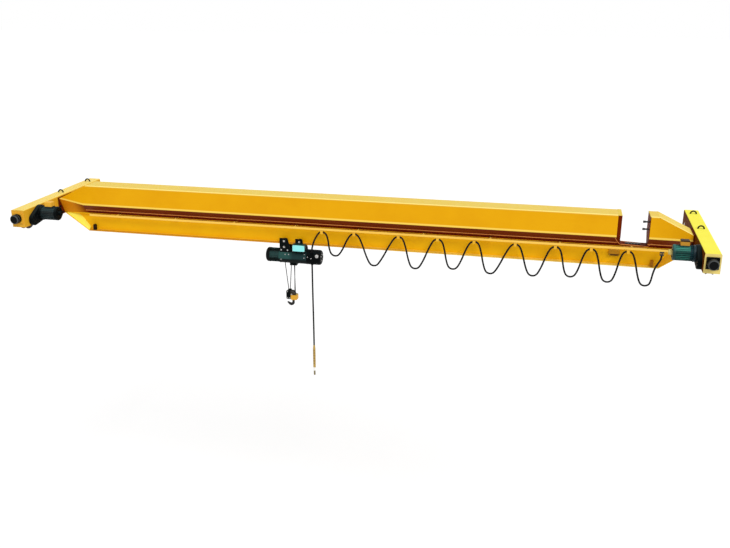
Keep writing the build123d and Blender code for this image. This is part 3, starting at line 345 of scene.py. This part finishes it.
# Painted shade on the down-facing inclined plates, with painted light at their lit left end
incline_paint = paint(
    "incline_paint",
    painted_shade_brown,
    linear(104, 26, 1),
    linear(70, 30, 14),
    zones=(({"x": (None, -4.78)}, 0.16, orange),),
    gloss=0.5,
    specular=0.02,
)
# Painted shade: the cut-out frame and end plates are coloured dark red as shade, with the painted lit top
# on their top face
painted_shade_paint = paint(
    "painted_shade_paint",
    linear(108, 34, 3),
    linear(92, 27, 2),
    linear(70, 30, 14),
    zones=(({"nz": (0.6, None), "z": (0.5, None)}, 0.02, painted_lit_top),),
    gloss=0.5,
    specular=0.02,
)
# Painted light: a pale lit top, and a paler tone on the front face as lit
left_carriage_paint = paint(
    "left_carriage_paint",
    linear(226, 170, 38),
    linear(218, 160, 30),
    primer,
    linear(246, 218, 108),
    (({"ny": (None, -0.7)}, 0.1, linear(226, 170, 52)),),
)
# Painted light and shade: a lit top, a paler lit front face, and painted shade in dark red on faces turned
# to -x
right_carriage_paint = paint(
    "right_carriage_paint",
    linear(242, 186, 44),
    linear(236, 174, 34),
    primer,
    linear(252, 245, 90),
    (
        ({"ny": (None, -0.7)}, 0.1, linear(238, 215, 128)),
        ({"nx": (None, -0.7)}, 0.1, linear(92, 40, 2)),
    ),
    gloss=0.6,
    specular=0.02,
)
# Painted shade: the track's top is coloured dark, as it lies in shade under the girder
track_paint = paint("track_paint", linear(252, 204, 90), linear(248, 196, 78), primer, linear(150, 92, 26))
# Painted light: a pale lit top
carrier_paint = paint(
    "carrier_paint", linear(240, 184, 52), linear(230, 172, 40), primer, linear(252, 216, 110)
)
# Painted light: a pale lit top
box_paint = paint(
    "box_paint",
    linear(206, 146, 22),
    linear(196, 134, 18),
    primer,
    painted_lit_top,
    (({"z": (None, -0.105)}, 0.006, linear(82, 50, 10)),),
)
stop_paint = paint(
    "stop_paint",
    linear(30, 14, 10),
    linear(24, 10, 8),
    linear(90, 60, 30),
    zones=(({"x": (0.0, None)}, 0.1, linear(176, 112, 16)),),
)
# Painted light: a pale lit top
crosshead_paint = paint(
    "crosshead_paint",
    linear(228, 172, 56),
    linear(218, 158, 44),
    primer,
    linear(250, 214, 100),
    (({"z": (-1.186, None)}, 0.002, linear(20, 18, 16)),),
)
# Painted light: a lighter lit top
black_paint = paint(
    "black_paint",
    linear(10, 15, 16),
    linear(7, 10, 11),
    linear(60, 58, 54),
    linear(26, 34, 34),
    specular=0.03,
)
# Painted light: a lighter lit top
gearbox_paint = paint(
    "gearbox_paint",
    linear(6, 9, 10),
    linear(4, 6, 7),
    linear(54, 56, 56),
    linear(18, 24, 26),
    specular=0.03,
)
lit_side = {"nz": (-0.22, 0.72)}
shell_paint = paint(
    "shell_paint",
    linear(10, 18, 18),
    linear(8, 14, 14),
    linear(84, 88, 84),
    zones=(
        (lit_side, 0.2, linear(30, 54, 55)),
        ({**lit_side, "x": (None, -1.06)}, 0.06, linear(42, 78, 74)),
    ),
    specular=0.06,
)
hoist_motor_paint = paint(
    "hoist_motor_paint",
    linear(12, 18, 18),
    linear(9, 14, 14),
    linear(70, 74, 72),
    zones=(
        (lit_side, 0.2, linear(44, 72, 70)),
        ({"x": (None, -1.424)}, 0.003, linear(8, 10, 12)),
    ),
    specular=0.06,
)
# Painted light: a lighter lit top
control_paint = paint(
    "control_paint",
    linear(14, 28, 28),
    linear(9, 18, 18),
    linear(70, 74, 72),
    linear(34, 70, 66),
    specular=0.06,
)
# Painted light: a lighter lit top
left_motor_paint = paint(
    "left_motor_paint",
    linear(16, 30, 33),
    linear(11, 22, 24),
    linear(70, 74, 72),
    linear(40, 62, 64),
    (({"z": (0.318, None)}, 0.002, linear(236, 178, 54)),),
    specular=0.25,
)
# Painted highlight: a bright teal band on top
right_motor_paint = paint(
    "right_motor_paint",
    linear(10, 66, 60),
    linear(6, 52, 47),
    linear(86, 90, 86),
    linear(70, 150, 134),
    (
        ({"x": (5.0, None)}, 0.004, linear(10, 48, 56)),
        ({"z": (0.318, 0.372)}, 0.002, linear(196, 140, 44)),
        ({"z": (0.372, None)}, 0.002, linear(58, 34, 12)),
    ),
)
# Painted light: a lighter lit top
right_cover_paint = paint(
    "right_cover_paint",
    linear(14, 62, 60),
    linear(10, 50, 48),
    linear(80, 84, 80),
    linear(40, 104, 98),
    (
        ({"x": (5.0, None)}, 0.004, linear(12, 40, 48)),
        ({"x": (None, 4.7675)}, 0.001, linear(226, 204, 120)),
    ),
    specular=0.25,
)
pale_cover = paint(
    "pale_cover", linear(150, 240, 238), linear(136, 228, 226), linear(110, 140, 138), gloss=0.35
)
bare_steel = bare_metal("bare_steel", linear(196, 196, 194), linear(136, 132, 126))
zinc_plate = bare_metal("zinc_plate", linear(196, 198, 196), linear(150, 150, 146), 0.4)
tread_steel = forged("tread_steel", linear(58, 44, 38), linear(86, 40, 28))
sheave_steel = forged("sheave_steel", linear(60, 56, 50), linear(80, 62, 40))
hook_black = forged("hook_black", linear(20, 19, 18), linear(40, 32, 26))
buffer_rubber = rubber(
    "buffer_rubber",
    linear(8, 8, 9),
    linear(22, 23, 23),
    grain=500.0,
    roughness=0.3,
    specular=0.05,
    zones=(
        # Painted highlight: a grey ring on the rounded rim
        ({"ny": (-0.92, -0.5)}, 0.1, linear(72, 74, 74)),
        ({"x": (None, 0.0), "y": (-1.2245, 1.2245)}, 0.0004, linear(226, 168, 48)),
    ),
)
sheath_rubber = rubber("sheath_rubber", linear(12, 12, 13), linear(26, 26, 26))
black_plastic = plastic("black_plastic", linear(24, 25, 26), linear(16, 16, 17))
pendant_yellow = plastic("pendant_yellow", linear(182, 148, 66), linear(170, 136, 54), 0.38)
button_plastic = plastic("button_plastic", linear(126, 96, 36), linear(112, 84, 30), 0.34)
tail_plastic = plastic(
    "tail_plastic",
    linear(248, 247, 240),
    linear(240, 238, 230),
    0.35,
    zones=(({"z": (None, -2.5055)}, 0.001, linear(116, 102, 58)),),
)
rope_steel = wire_rope("rope_steel", linear(48, 47, 46), linear(18, 18, 17))
# Painted highlight: the weld beads are coloured light orange as they catch the light, with a lit top
weld_highlight_paint = paint("weld_highlight_paint", linear(222, 140, 70), linear(206, 122, 54), primer, linear(232, 156, 84))

node_materials = {
    trough_paint: ("main_trough", "end_trough"),
    beam_paint: ("lower_i_beam",),
    gusset_paint: ("end_gussets",),
    incline_paint: ("front_inclined_plate", "rear_inclined_plate"),
    painted_shade_paint: ("cutout_frame", "girder_end_plates"),
    left_carriage_paint: ("left_end_carriage",),
    right_carriage_paint: ("right_end_carriage",),
    track_paint: ("festoon_track", "track_brackets"),
    carrier_paint: tuple(f"festoon_carrier_{n + 1}" for n in range(carrier_count)),
    box_paint: ("switch_box",),
    stop_paint: ("trolley_end_stops",),
    crosshead_paint: ("block_crosshead",),
    black_paint: (
        "lifting_lugs",
        "left_gear_case",
        "right_gear_case",
        "left_motor_covers",
        "front_trolley_plates",
        "rear_trolley_plates",
        "rope_guide",
        "block_cheeks",
    ),
    gearbox_paint: ("hoist_gearbox",),
    shell_paint: ("hoist_drum_shell",),
    control_paint: ("control_box",),
    hoist_motor_paint: ("hoist_motor",),
    left_motor_paint: ("left_travel_motor",),
    right_motor_paint: ("right_travel_motor",),
    right_cover_paint: ("right_motor_covers",),
    pale_cover: ("control_box_cover",),
    bare_steel: ("wheel_axles", "gearbox_boss", "trolley_tie_rods"),
    tread_steel: ("left_front_wheel", "left_rear_wheel", "right_front_wheel", "right_rear_wheel"),
    sheave_steel: ("trolley_wheels", "sheaves"),
    hook_black: ("hook",),
    buffer_rubber: ("rubber_buffers",),
    black_plastic: ("terminal_strip", "cable_stubs", "cable_end_clamp"),
    pendant_yellow: ("pendant_station",),
    tail_plastic: ("pendant_tail",),
    sheath_rubber: ("festoon_cable", "pendant_cable"),
    rope_steel: ("rope_falls",),
}
for material, names in node_materials.items():
    for name in names:
        nodes[name].data.materials.clear()
        nodes[name].data.materials.append(material)


# Helpers for meshes

round_sides = 20
hex_sides = 6
bolt_sink = 0.001

# Shares of the radius of a bolt's head
washer_radius = 1.25
washer_height = 0.22
flat_height = 0.62
top_height = 0.78
top_radius = 0.82


def piece(name, mesh, material, smooth=False):
    """Object in the scene from a bmesh, which is freed."""
    data = bpy.data.meshes.new(name)
    mesh.normal_update()
    mesh.to_mesh(data)
    mesh.free()
    data.materials.append(material)
    if smooth:
        data.shade_smooth()
    made = bpy.data.objects.new(name, data)
    bpy.context.collection.objects.link(made)
    return made


def turned_to(axis):
    """Rotation that turns +Z to an axis."""
    return Vector((0, 0, 1)).rotation_difference(Vector(axis)).to_matrix().to_4x4()


def join_rings(mesh, rings):
    """Adds the faces between rings of vertices and closes both ends."""
    sides = len(rings[0])
    for lower, upper in zip(rings, rings[1:]):
        for step in range(sides):
            after = (step + 1) % sides
            mesh.faces.new((lower[step], lower[after], upper[after], upper[step]))
    mesh.faces.new(reversed(rings[0]))
    mesh.faces.new(rings[-1])


def add_lathe(mesh, place, axis, profile, sides):
    """Adds a turned solid, closed at both ends; the profile lists (radius, height)."""
    frame_at = Matrix.Translation(place) @ turned_to(axis)
    rings = []
    for radius, height in profile:
        ring = []
        for step in range(sides):
            angle = tau * step / sides
            point = Vector((radius * cos(angle), radius * sin(angle), height))
            ring.append(mesh.verts.new(frame_at @ point))
        rings.append(ring)
    join_rings(mesh, rings)


def add_bolt(mesh, place, axis, size):
    """Adds a washer and a chamfered hex head; size is the head's width over its corners."""
    head = size / 2
    washer = [(head * washer_radius, -bolt_sink), (head * washer_radius, head * washer_height)]
    add_lathe(mesh, place, axis, washer, round_sides)
    root = Vector(place) + Vector(axis) * head * washer_height
    profile = [(head, 0.0), (head, head * flat_height), (head * top_radius, head * top_height)]
    add_lathe(mesh, root, axis, profile, hex_sides)


def bolts(name, body, places, material):
    """Makes one piece with every bolt in places: (point, axis, size)."""
    mesh = bmesh.new()
    for place, axis, size in places:
        add_bolt(mesh, place, axis, size)
    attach(piece(name, mesh, material), body)


def ring_places(centre, axis, across, count, radius, size, turn=0.0):
    """Bolt places evenly round a circle; across is the direction of the first one."""
    first = Vector(across)
    second = Vector(axis).cross(first)
    found = []
    for step in range(count):
        angle = turn + tau * step / count
        point = Vector(centre) + radius * (cos(angle) * first + sin(angle) * second)
        found.append((point, axis, size))
    return found


# Bolts on the bridge

end_plate_levels = (0.045, 0.100, 0.155)
end_plate_reach = 0.196
end_plate_inner_reach = 0.135
end_plate_bolt = 0.030
buffer_plate = 0.014
buffer_bolt_offset = 0.068
buffer_bolt = 0.020
axle_circle = 0.078
axle_bolt = 0.018
gear_case_depth = 0.064
gear_case_circle = 0.070
gear_case_bolt = 0.018
gear_case_turn = -1.2
motor_flange = 0.030
motor_length = 0.240
motor_cover = 0.038
motor_circle = 0.070
motor_bolt = 0.016

bridge_bolts = []
painted_bolts = []
for side in (-1, 1):
    buffer_side = painted_bolts if side < 0 else bridge_bolts
    for face in (-1, 1):
        for level in end_plate_levels:
            place = (side * girder_end, face * end_plate_reach, level)
            bridge_bolts.append((place, (-side, 0, 0), end_plate_bolt))
        place = (side * girder_end, face * end_plate_inner_reach, end_plate_levels[0])
        bridge_bolts.append((place, (-side, 0, 0), end_plate_bolt))
        for x in (-buffer_bolt_offset, buffer_bolt_offset):
            for z in (-buffer_bolt_offset, buffer_bolt_offset):
                place = (side * span / 2 + x, face * (carriage_end + buffer_plate), buffer_height + z)
                buffer_side.append((place, (0, face, 0), buffer_bolt))
        cap = (side * (carriage_inner + carriage_width), face * wheel_setback, wheel_axis)
        bridge_bolts += ring_places(cap, (side, 0, 0), (0, 0, 1), 4, axle_circle, axle_bolt, pi / 4)
    case = (side * (carriage_inner - gear_case_depth), -wheel_setback, wheel_axis)
    bridge_bolts += ring_places(
        case, (-side, 0, 0), (0, -1, 0), 5, gear_case_circle, gear_case_bolt, gear_case_turn
    )
    cover_face = carriage_inner - gear_case_depth - motor_flange - motor_length - motor_cover
    cover = (side * cover_face, -motor_setback, motor_height)
    bridge_bolts += ring_places(cover, (-side, 0, 0), (0, 0, 1), 4, motor_circle, motor_bolt, pi / 4)
bolts("bridge_bolts", "bridge", bridge_bolts, black_paint)
bolts("buffer_bolts", "bridge", painted_bolts, left_carriage_paint)

track_start = -4.6
track_length = 9.4
bracket_count = 9
bracket_pitch = track_length / bracket_count
bracket_top = 0.050
bracket_bolt = 0.018
clamp_depth = 0.025
clamp_bolt_offset = 0.018
clamp_bolt_level = -0.02
clamp_bolt = 0.013
box_x, box_z = 4.042, -0.086
box_depth = 0.052
box_screw_x, box_screw_z = 0.062, 0.033
box_screw = 0.011

fitting_bolts = []
for index in range(bracket_count):
    x = track_start + (index + 0.5) * bracket_pitch
    fitting_bolts.append(((x, -track_setback, bracket_top), (0, 0, 1), bracket_bolt))
for x in (clamp_position - clamp_bolt_offset, clamp_position + clamp_bolt_offset):
    place = (x, -track_setback - clamp_depth, clamp_bolt_level)
    fitting_bolts.append((place, (0, -1, 0), clamp_bolt))
for x in (-box_screw_x, box_screw_x):
    for z in (-box_screw_z, box_screw_z):
        place = (box_x + x, -beam_web - box_depth, box_z + z)
        fitting_bolts.append((place, (0, -1, 0), box_screw))
bolts("fitting_bolts", "bridge", fitting_bolts, carrier_paint)

stop_setback = 4.6
stop_face = beam_web + 0.056
stop_levels = (-0.248, -0.206)
stop_bolt = 0.018

stop_bolts = []
for side in (-1, 1):
    for face in (-1, 1):
        for level in stop_levels:
            place = (side * stop_setback, face * stop_face, level)
            stop_bolts.append((place, (0, face, 0), stop_bolt))
bolts("stop_bolts", "bridge", stop_bolts, stop_paint)


# Welds along the seams of the inclined plates and round the cut-out's lip


def add_weld(mesh, start, end, radius, ripple=0.014, waist=0.86):
    """Adds a rippled bead between two points; waist is the share of the radius between ripples."""
    run = Vector(end) - Vector(start)
    count = max(int(run.length / ripple), 2)
    profile = []
    for step in range(count + 1):
        swell = radius if step % 2 else radius * waist
        profile.append((swell, run.length * step / count))
    add_lathe(mesh, start, run.normalized(), profile, hex_sides)


seam_y, seam_z = 0.1163, 0.0958
seam_runs = ((-4.690, 4.060), (4.500, girder_end))
seam_radius = 0.009
lip_points = (
    (4.028, 0.185, 0.182),
    (4.071, 0.126, 0.106),
    (4.113, 0.091, 0.063),
    (4.504, 0.080, 0.050),
    (4.564, 0.128, 0.108),
)
lip_radius = 0.006

welds = bmesh.new()
for face in (-1, 1):
    for start, end in seam_runs:
        add_weld(welds, (start, face * seam_y, seam_z), (end, face * seam_y, seam_z), seam_radius)
for face in (-1, 1):
    lip = [(x, face * y, z) for x, y, z in lip_points]
    for start, end in zip(lip, lip[1:]):
        add_weld(welds, start, end, lip_radius)
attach(piece("seam_welds", welds, weld_highlight_paint, True), "bridge")


# Bolts, nuts and screws on the hoist

plate_middles = (-1.165, -0.905)
plate_face = 0.102
plate_bolts = ((-0.332, 0.030), (-0.2347, 0.028))  # level and size
foot_spans = ((-1.245, -1.085), (-0.975, -0.838))
foot_edge = 0.026
foot_face, foot_level = 0.092, -0.388
foot_bolt = 0.020
gearbox_end, gearbox_circle, gearbox_bolt = -0.555, 0.058, 0.018
hoist_end, hoist_circle, hoist_bolt = -1.490, 0.070, 0.016

hoist_bolts = []
for x in plate_middles:
    for face in (-1, 1):
        for level, size in plate_bolts:
            hoist_bolts.append(((x, face * plate_face, level), (0, face, 0), size))
for start, end in foot_spans:
    for x in (start + foot_edge, end - foot_edge):
        for face in (-1, 1):
            hoist_bolts.append(((x, face * foot_face, foot_level), (0, face, 0), foot_bolt))
gearbox_centre = (gearbox_end, 0, hoist_axis)
hoist_bolts += ring_places(gearbox_centre, (1, 0, 0), (0, 0, 1), 6, gearbox_circle, gearbox_bolt)
hoist_centre = (hoist_end, 0, hoist_axis)
hoist_bolts += ring_places(hoist_centre, (-1, 0, 0), (0, 0, 1), 4, hoist_circle, hoist_bolt, pi / 4)
bolts("hoist_bolts", "trolley", hoist_bolts, bare_steel)

shell_radius = 0.122
gearbox_radius = 0.124
shell_screw = 0.014
screw_places = (  # place along the hoist, rise over its axis and radius
    (-1.148, 0.048, shell_radius),
    (-1.088, 0.050, shell_radius),
    (-0.822, 0.066, shell_radius),
    (-0.824, 0.010, shell_radius),
    (-0.764, 0.030, gearbox_radius),
    (-0.704, 0.009, gearbox_radius),
    (-1.219, -0.036, shell_radius),
)

shell_screws = []
for x, rise, radius in screw_places:
    out = Vector((0.0, -sqrt(radius**2 - rise**2), rise)) / radius
    shell_screws.append((Vector((x, 0.0, hoist_axis)) + out * radius, out, shell_screw))
bolts("shell_screws", "trolley", shell_screws, bare_steel)

control_front = -0.190
cover_screw = 0.010

cover_screws = []
for x in (-0.990, -0.800):
    for z in (-0.274, -0.363):
        cover_screws.append(((x, control_front, z), (0, -1, 0), cover_screw))
bolts("cover_screws", "trolley", cover_screws, zinc_plate)

sheave_x, sheave_level = -1.076, -1.172
block_face = 0.048
sheave_bolt = 0.022
cheek_bolt = 0.015
cheek_bolts = ((-1.148, -1.128), (-1.148, -1.239), (-1.112, -1.239))

block_bolts = []
for face in (-1, 1):
    block_bolts.append(((sheave_x, face * block_face, sheave_level), (0, face, 0), sheave_bolt))
    for x, z in cheek_bolts:
        block_bolts.append(((x, face * block_face, z), (0, face, 0), cheek_bolt))
bolts("block_bolts", "hook_block", block_bolts, bare_steel)


# Pendant buttons

station_x, station_front, station_top = -0.688, -0.114, -2.0335
button = [(0.011, -0.001), (0.011, 0.002), (0.0085, 0.002), (0.008, 0.006), (0.0055, 0.0075)]
button_count = 6
first_button, button_pitch = 0.095, 0.048

buttons = bmesh.new()
for index in range(button_count):
    level = station_top - first_button - button_pitch * index
    add_lathe(buttons, (station_x, station_front, level), (0, -1, 0), button, round_sides)
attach(piece("pendant_buttons", buttons, button_plastic, False), "trolley")


# Ropes and cables

loop_lows = (0.41, 0.45, 0.44, 0.44, 0.42, 0.475, 0.47, 0.50, 0.585)
loop_sags = (0.385, 0.505, 0.505, 0.469, 0.500, 0.487, 0.460, 0.502, 0.519)
last_loop_climb = ((0.806, 0.537), (0.908, 0.315), (1.00, 0.165))
crest_half_run = 0.034
bend_run = 0.046
bend_drop = 0.044
side_bow = 0.005
supply_gland = Vector((-0.694, -0.100, -0.400))
lead_offsets = (
    (0.0, 0.0, 0.0),
    (0.0, 0.0, 0.048),
    (0.024, -0.018, 0.142),
    (0.060, -0.035, 0.235),
    (0.112, -0.047, 0.322),
)


def half_loop(crest, low, sag):
    """Points (x, depth) down one side of a hanging loop, from crest to low point."""
    way = 1 if low > crest else -1
    reach = crest_half_run + bend_run
    upper = (crest + way * reach, bend_drop)
    lower = (low - way * reach, sag - bend_drop)
    between = []
    for share, bow in ((1 / 3, side_bow), (2 / 3, -side_bow)):
        x = upper[0] + share * (lower[0] - upper[0]) + way * bow
        between.append((x, upper[1] + share * (lower[1] - upper[1])))
    return [upper, *between, lower, (low - way * crest_half_run, sag)]


def festoon_route():
    """Points of the festoon cable, from the hoist to the end clamp."""
    stations = list(carrier_positions) + [clamp_position]
    points = [supply_gland + Vector(step) for step in lead_offsets]
    for left, right, share, sag in zip(stations, stations[1:], loop_lows, loop_sags):
        low = left + share * (right - left)
        climb = half_loop(right, low, sag)[::-1]
        if right == clamp_position:
            climb = climb[:2]
            climb += [(left + along * (right - left), down * sag) for along, down in last_loop_climb]
        route = [(left - crest_half_run, 0), (left + crest_half_run, 0), *half_loop(left, low, sag), *climb]
        points += [Vector((x, -track_setback, cable_crest - depth)) for x, depth in route]
    points.append(Vector((clamp_position, -track_setback, clamp_bottom)))
    return points


def sampled(points):
    """Points along one smooth spline that starts and ends at the end points of a route."""
    data = bpy.data.curves.new("guide", "CURVE")
    data.dimensions = "3D"
    data.resolution_u = 10
    spline = data.splines.new("NURBS")
    spline.points.add(len(points) - 1)
    for target, point in zip(spline.points, points):
        target.co = (*point, 1.0)
    spline.order_u = 3
    spline.use_endpoint_u = True
    guide = bpy.data.objects.new("guide", data)
    bpy.context.collection.objects.link(guide)
    mesh = bpy.data.meshes.new_from_object(guide)
    found = [v.co.copy() for v in mesh.vertices]
    bpy.data.meshes.remove(mesh)
    bpy.data.objects.remove(guide)
    return found


def add_tube(mesh, line, radius, sides=12):
    """Adds a tube along a line, with ends closed; the rings keep their turn along it."""
    side = Vector((0, 1, 0))
    rings = []
    for index, point in enumerate(line):
        ahead = line[min(index + 1, len(line) - 1)] - line[max(index - 1, 0)]
        ahead.normalize()
        side = (side - ahead * side.dot(ahead)).normalized()
        up = ahead.cross(side)
        ring = []
        for step in range(sides):
            angle = tau * step / sides
            ring.append(mesh.verts.new(point + radius * (cos(angle) * side + sin(angle) * up)))
        rings.append(ring)
    join_rings(mesh, rings)


def tube(name, line, diameter, material):
    """Piece that is a tube along a line."""
    mesh = bmesh.new()
    add_tube(mesh, line, diameter / 2)
    bmesh.ops.recalc_face_normals(mesh, faces=mesh.faces)
    return piece(name, mesh, material, True)


line = sampled(festoon_route())
cuts = []
for x in carrier_positions:
    crest = Vector((x, -track_setback, cable_crest))
    cuts.append(min(range(len(line)), key=lambda i: (line[i] - crest).length))
cuts.append(len(line) - 1)

lead_line = line[: cuts[0] + 1]
lead = tube("festoon_lead", lead_line, cable_diameter, sheath_rubber)
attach(lead, "trolley")
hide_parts("festoon_cable")
for number in range(1, carrier_count + 1):
    loop_line = line[cuts[number - 1] : cuts[number] + 1]
    loop = tube(f"festoon_loop_{number}", loop_line, cable_diameter, sheath_rubber)
    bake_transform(loop)
    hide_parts("festoon_cable")

pendant_diameter = 0.028
pendant_gland = Vector((-0.694, -0.095, -0.6085))
pendant_offsets = (
    (0.0, 0.0, 0.0),
    (0.0, 0.0, -0.315),
    (0.003, -0.001, -0.695),
    (0.006, 0.0, -1.075),
    (0.006, 0.0, -1.425),
)
pendant_line = sampled([pendant_gland + Vector(step) for step in pendant_offsets])
pendant_cable = tube("pendant_lead", pendant_line, pendant_diameter, sheath_rubber)
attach(pendant_cable, "trolley")
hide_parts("pendant_cable")

rope_top = -0.6273
rope_radius = 0.0065
fall_ends = (
    (-1.181, -1.123, -0.020),
    (-1.014, -1.029, -0.020),
    (-1.084, -1.123, 0.020),
    (-1.036, -1.029, 0.020),
)
rope_falls = bmesh.new()
for top_x, bottom_x, y in fall_ends:
    fall = [Vector((top_x, y, rope_top)), Vector((bottom_x, y, sheave_level))]
    add_tube(rope_falls, fall, rope_radius)
bmesh.ops.recalc_face_normals(rope_falls, faces=rope_falls.faces)
ropes = piece("rope_lines", rope_falls, rope_steel, True)
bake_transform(ropes)
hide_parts("rope_falls")


# Stage, light and camera

floor_level = -6.3
floor_size = 160.0
floor_lit = [0.75, 0.75, 0.75, 1.0]
floor_seen = [1.05, 1.05, 1.05, 1.0]
sky_lit, sky_seen = 0.60, 1.0


def background_seen(tree):
    """Value that is 1 for what the camera sees, also in reflections and through glass."""
    rays = tree.nodes.new("ShaderNodeLightPath")
    total = None
    for name in ("Is Camera Ray", "Is Glossy Ray", "Is Transmission Ray"):
        if total is None:
            total = rays.outputs[name]
            continue
        either = tree.nodes.new("ShaderNodeMath")
        either.operation = "MAXIMUM"
        tree.links.new(total, either.inputs[0])
        tree.links.new(rays.outputs[name], either.inputs[1])
        total = either.outputs[0]
    return total


floor_mesh = bmesh.new()
bmesh.ops.create_grid(floor_mesh, x_segments=1, y_segments=1, size=floor_size)
floor_surface = Surface("floor_white")
floor_tree = floor_surface.tree
floor_shade = floor_surface.node("ShaderNodeBsdfDiffuse")
floor_colour = floor_surface.mix(background_seen(floor_tree), floor_lit, floor_seen)
floor_surface.link(floor_colour, floor_shade.inputs["Color"])
floor_output = floor_tree.nodes["Material Output"]
floor_surface.link(floor_shade.outputs[0], floor_output.inputs["Surface"])
floor = piece("floor", floor_mesh, floor_surface.material)
floor.location.z = floor_level

world = bpy.data.worlds.new("studio")
bpy.context.scene.world = world
world.use_nodes = True
sky = world.node_tree.nodes["Background"]
sky.inputs["Color"].default_value = (1.0, 1.0, 1.0, 1.0)
sky_level = world.node_tree.nodes.new("ShaderNodeMapRange")
sky_level.inputs["To Min"].default_value = sky_lit
sky_level.inputs["To Max"].default_value = sky_seen
world.node_tree.links.new(background_seen(world.node_tree), sky_level.inputs["Value"])
world.node_tree.links.new(sky_level.outputs["Result"], sky.inputs["Strength"])


def sun(name, direction, strength, softness):
    """Distant soft lamp that shines along a direction."""
    lamp = bpy.data.lights.new(name, "SUN")
    lamp.energy = strength
    lamp.angle = radians(softness)
    made = bpy.data.objects.new(name, lamp)
    made.rotation_euler = Vector((0, 0, -1)).rotation_difference(Vector(direction)).to_euler()
    bpy.context.collection.objects.link(made)


sun("key", (-0.45, 0.55, -0.70), 1.9, 35.0)

photo_width = 730.0
focal_pixels = 864.2
sensor_width = 36.0
camera_place = (3.1499, -13.0354, 3.7915)
camera_pitch, camera_turn = 0.3264, 0.2245

camera_data = bpy.data.cameras.new("photo_camera")
camera_data.sensor_fit = "HORIZONTAL"
camera_data.sensor_width = sensor_width
camera_data.lens = sensor_width * focal_pixels / photo_width
camera_data.clip_end = 500.0
camera = bpy.data.objects.new("photo_camera", camera_data)
camera.location = camera_place
camera.rotation_euler = (pi / 2 - camera_pitch, 0.0, camera_turn)
bpy.context.collection.objects.link(camera)
bpy.context.scene.camera = camera
bpy.context.scene.view_settings.view_transform = "Standard"
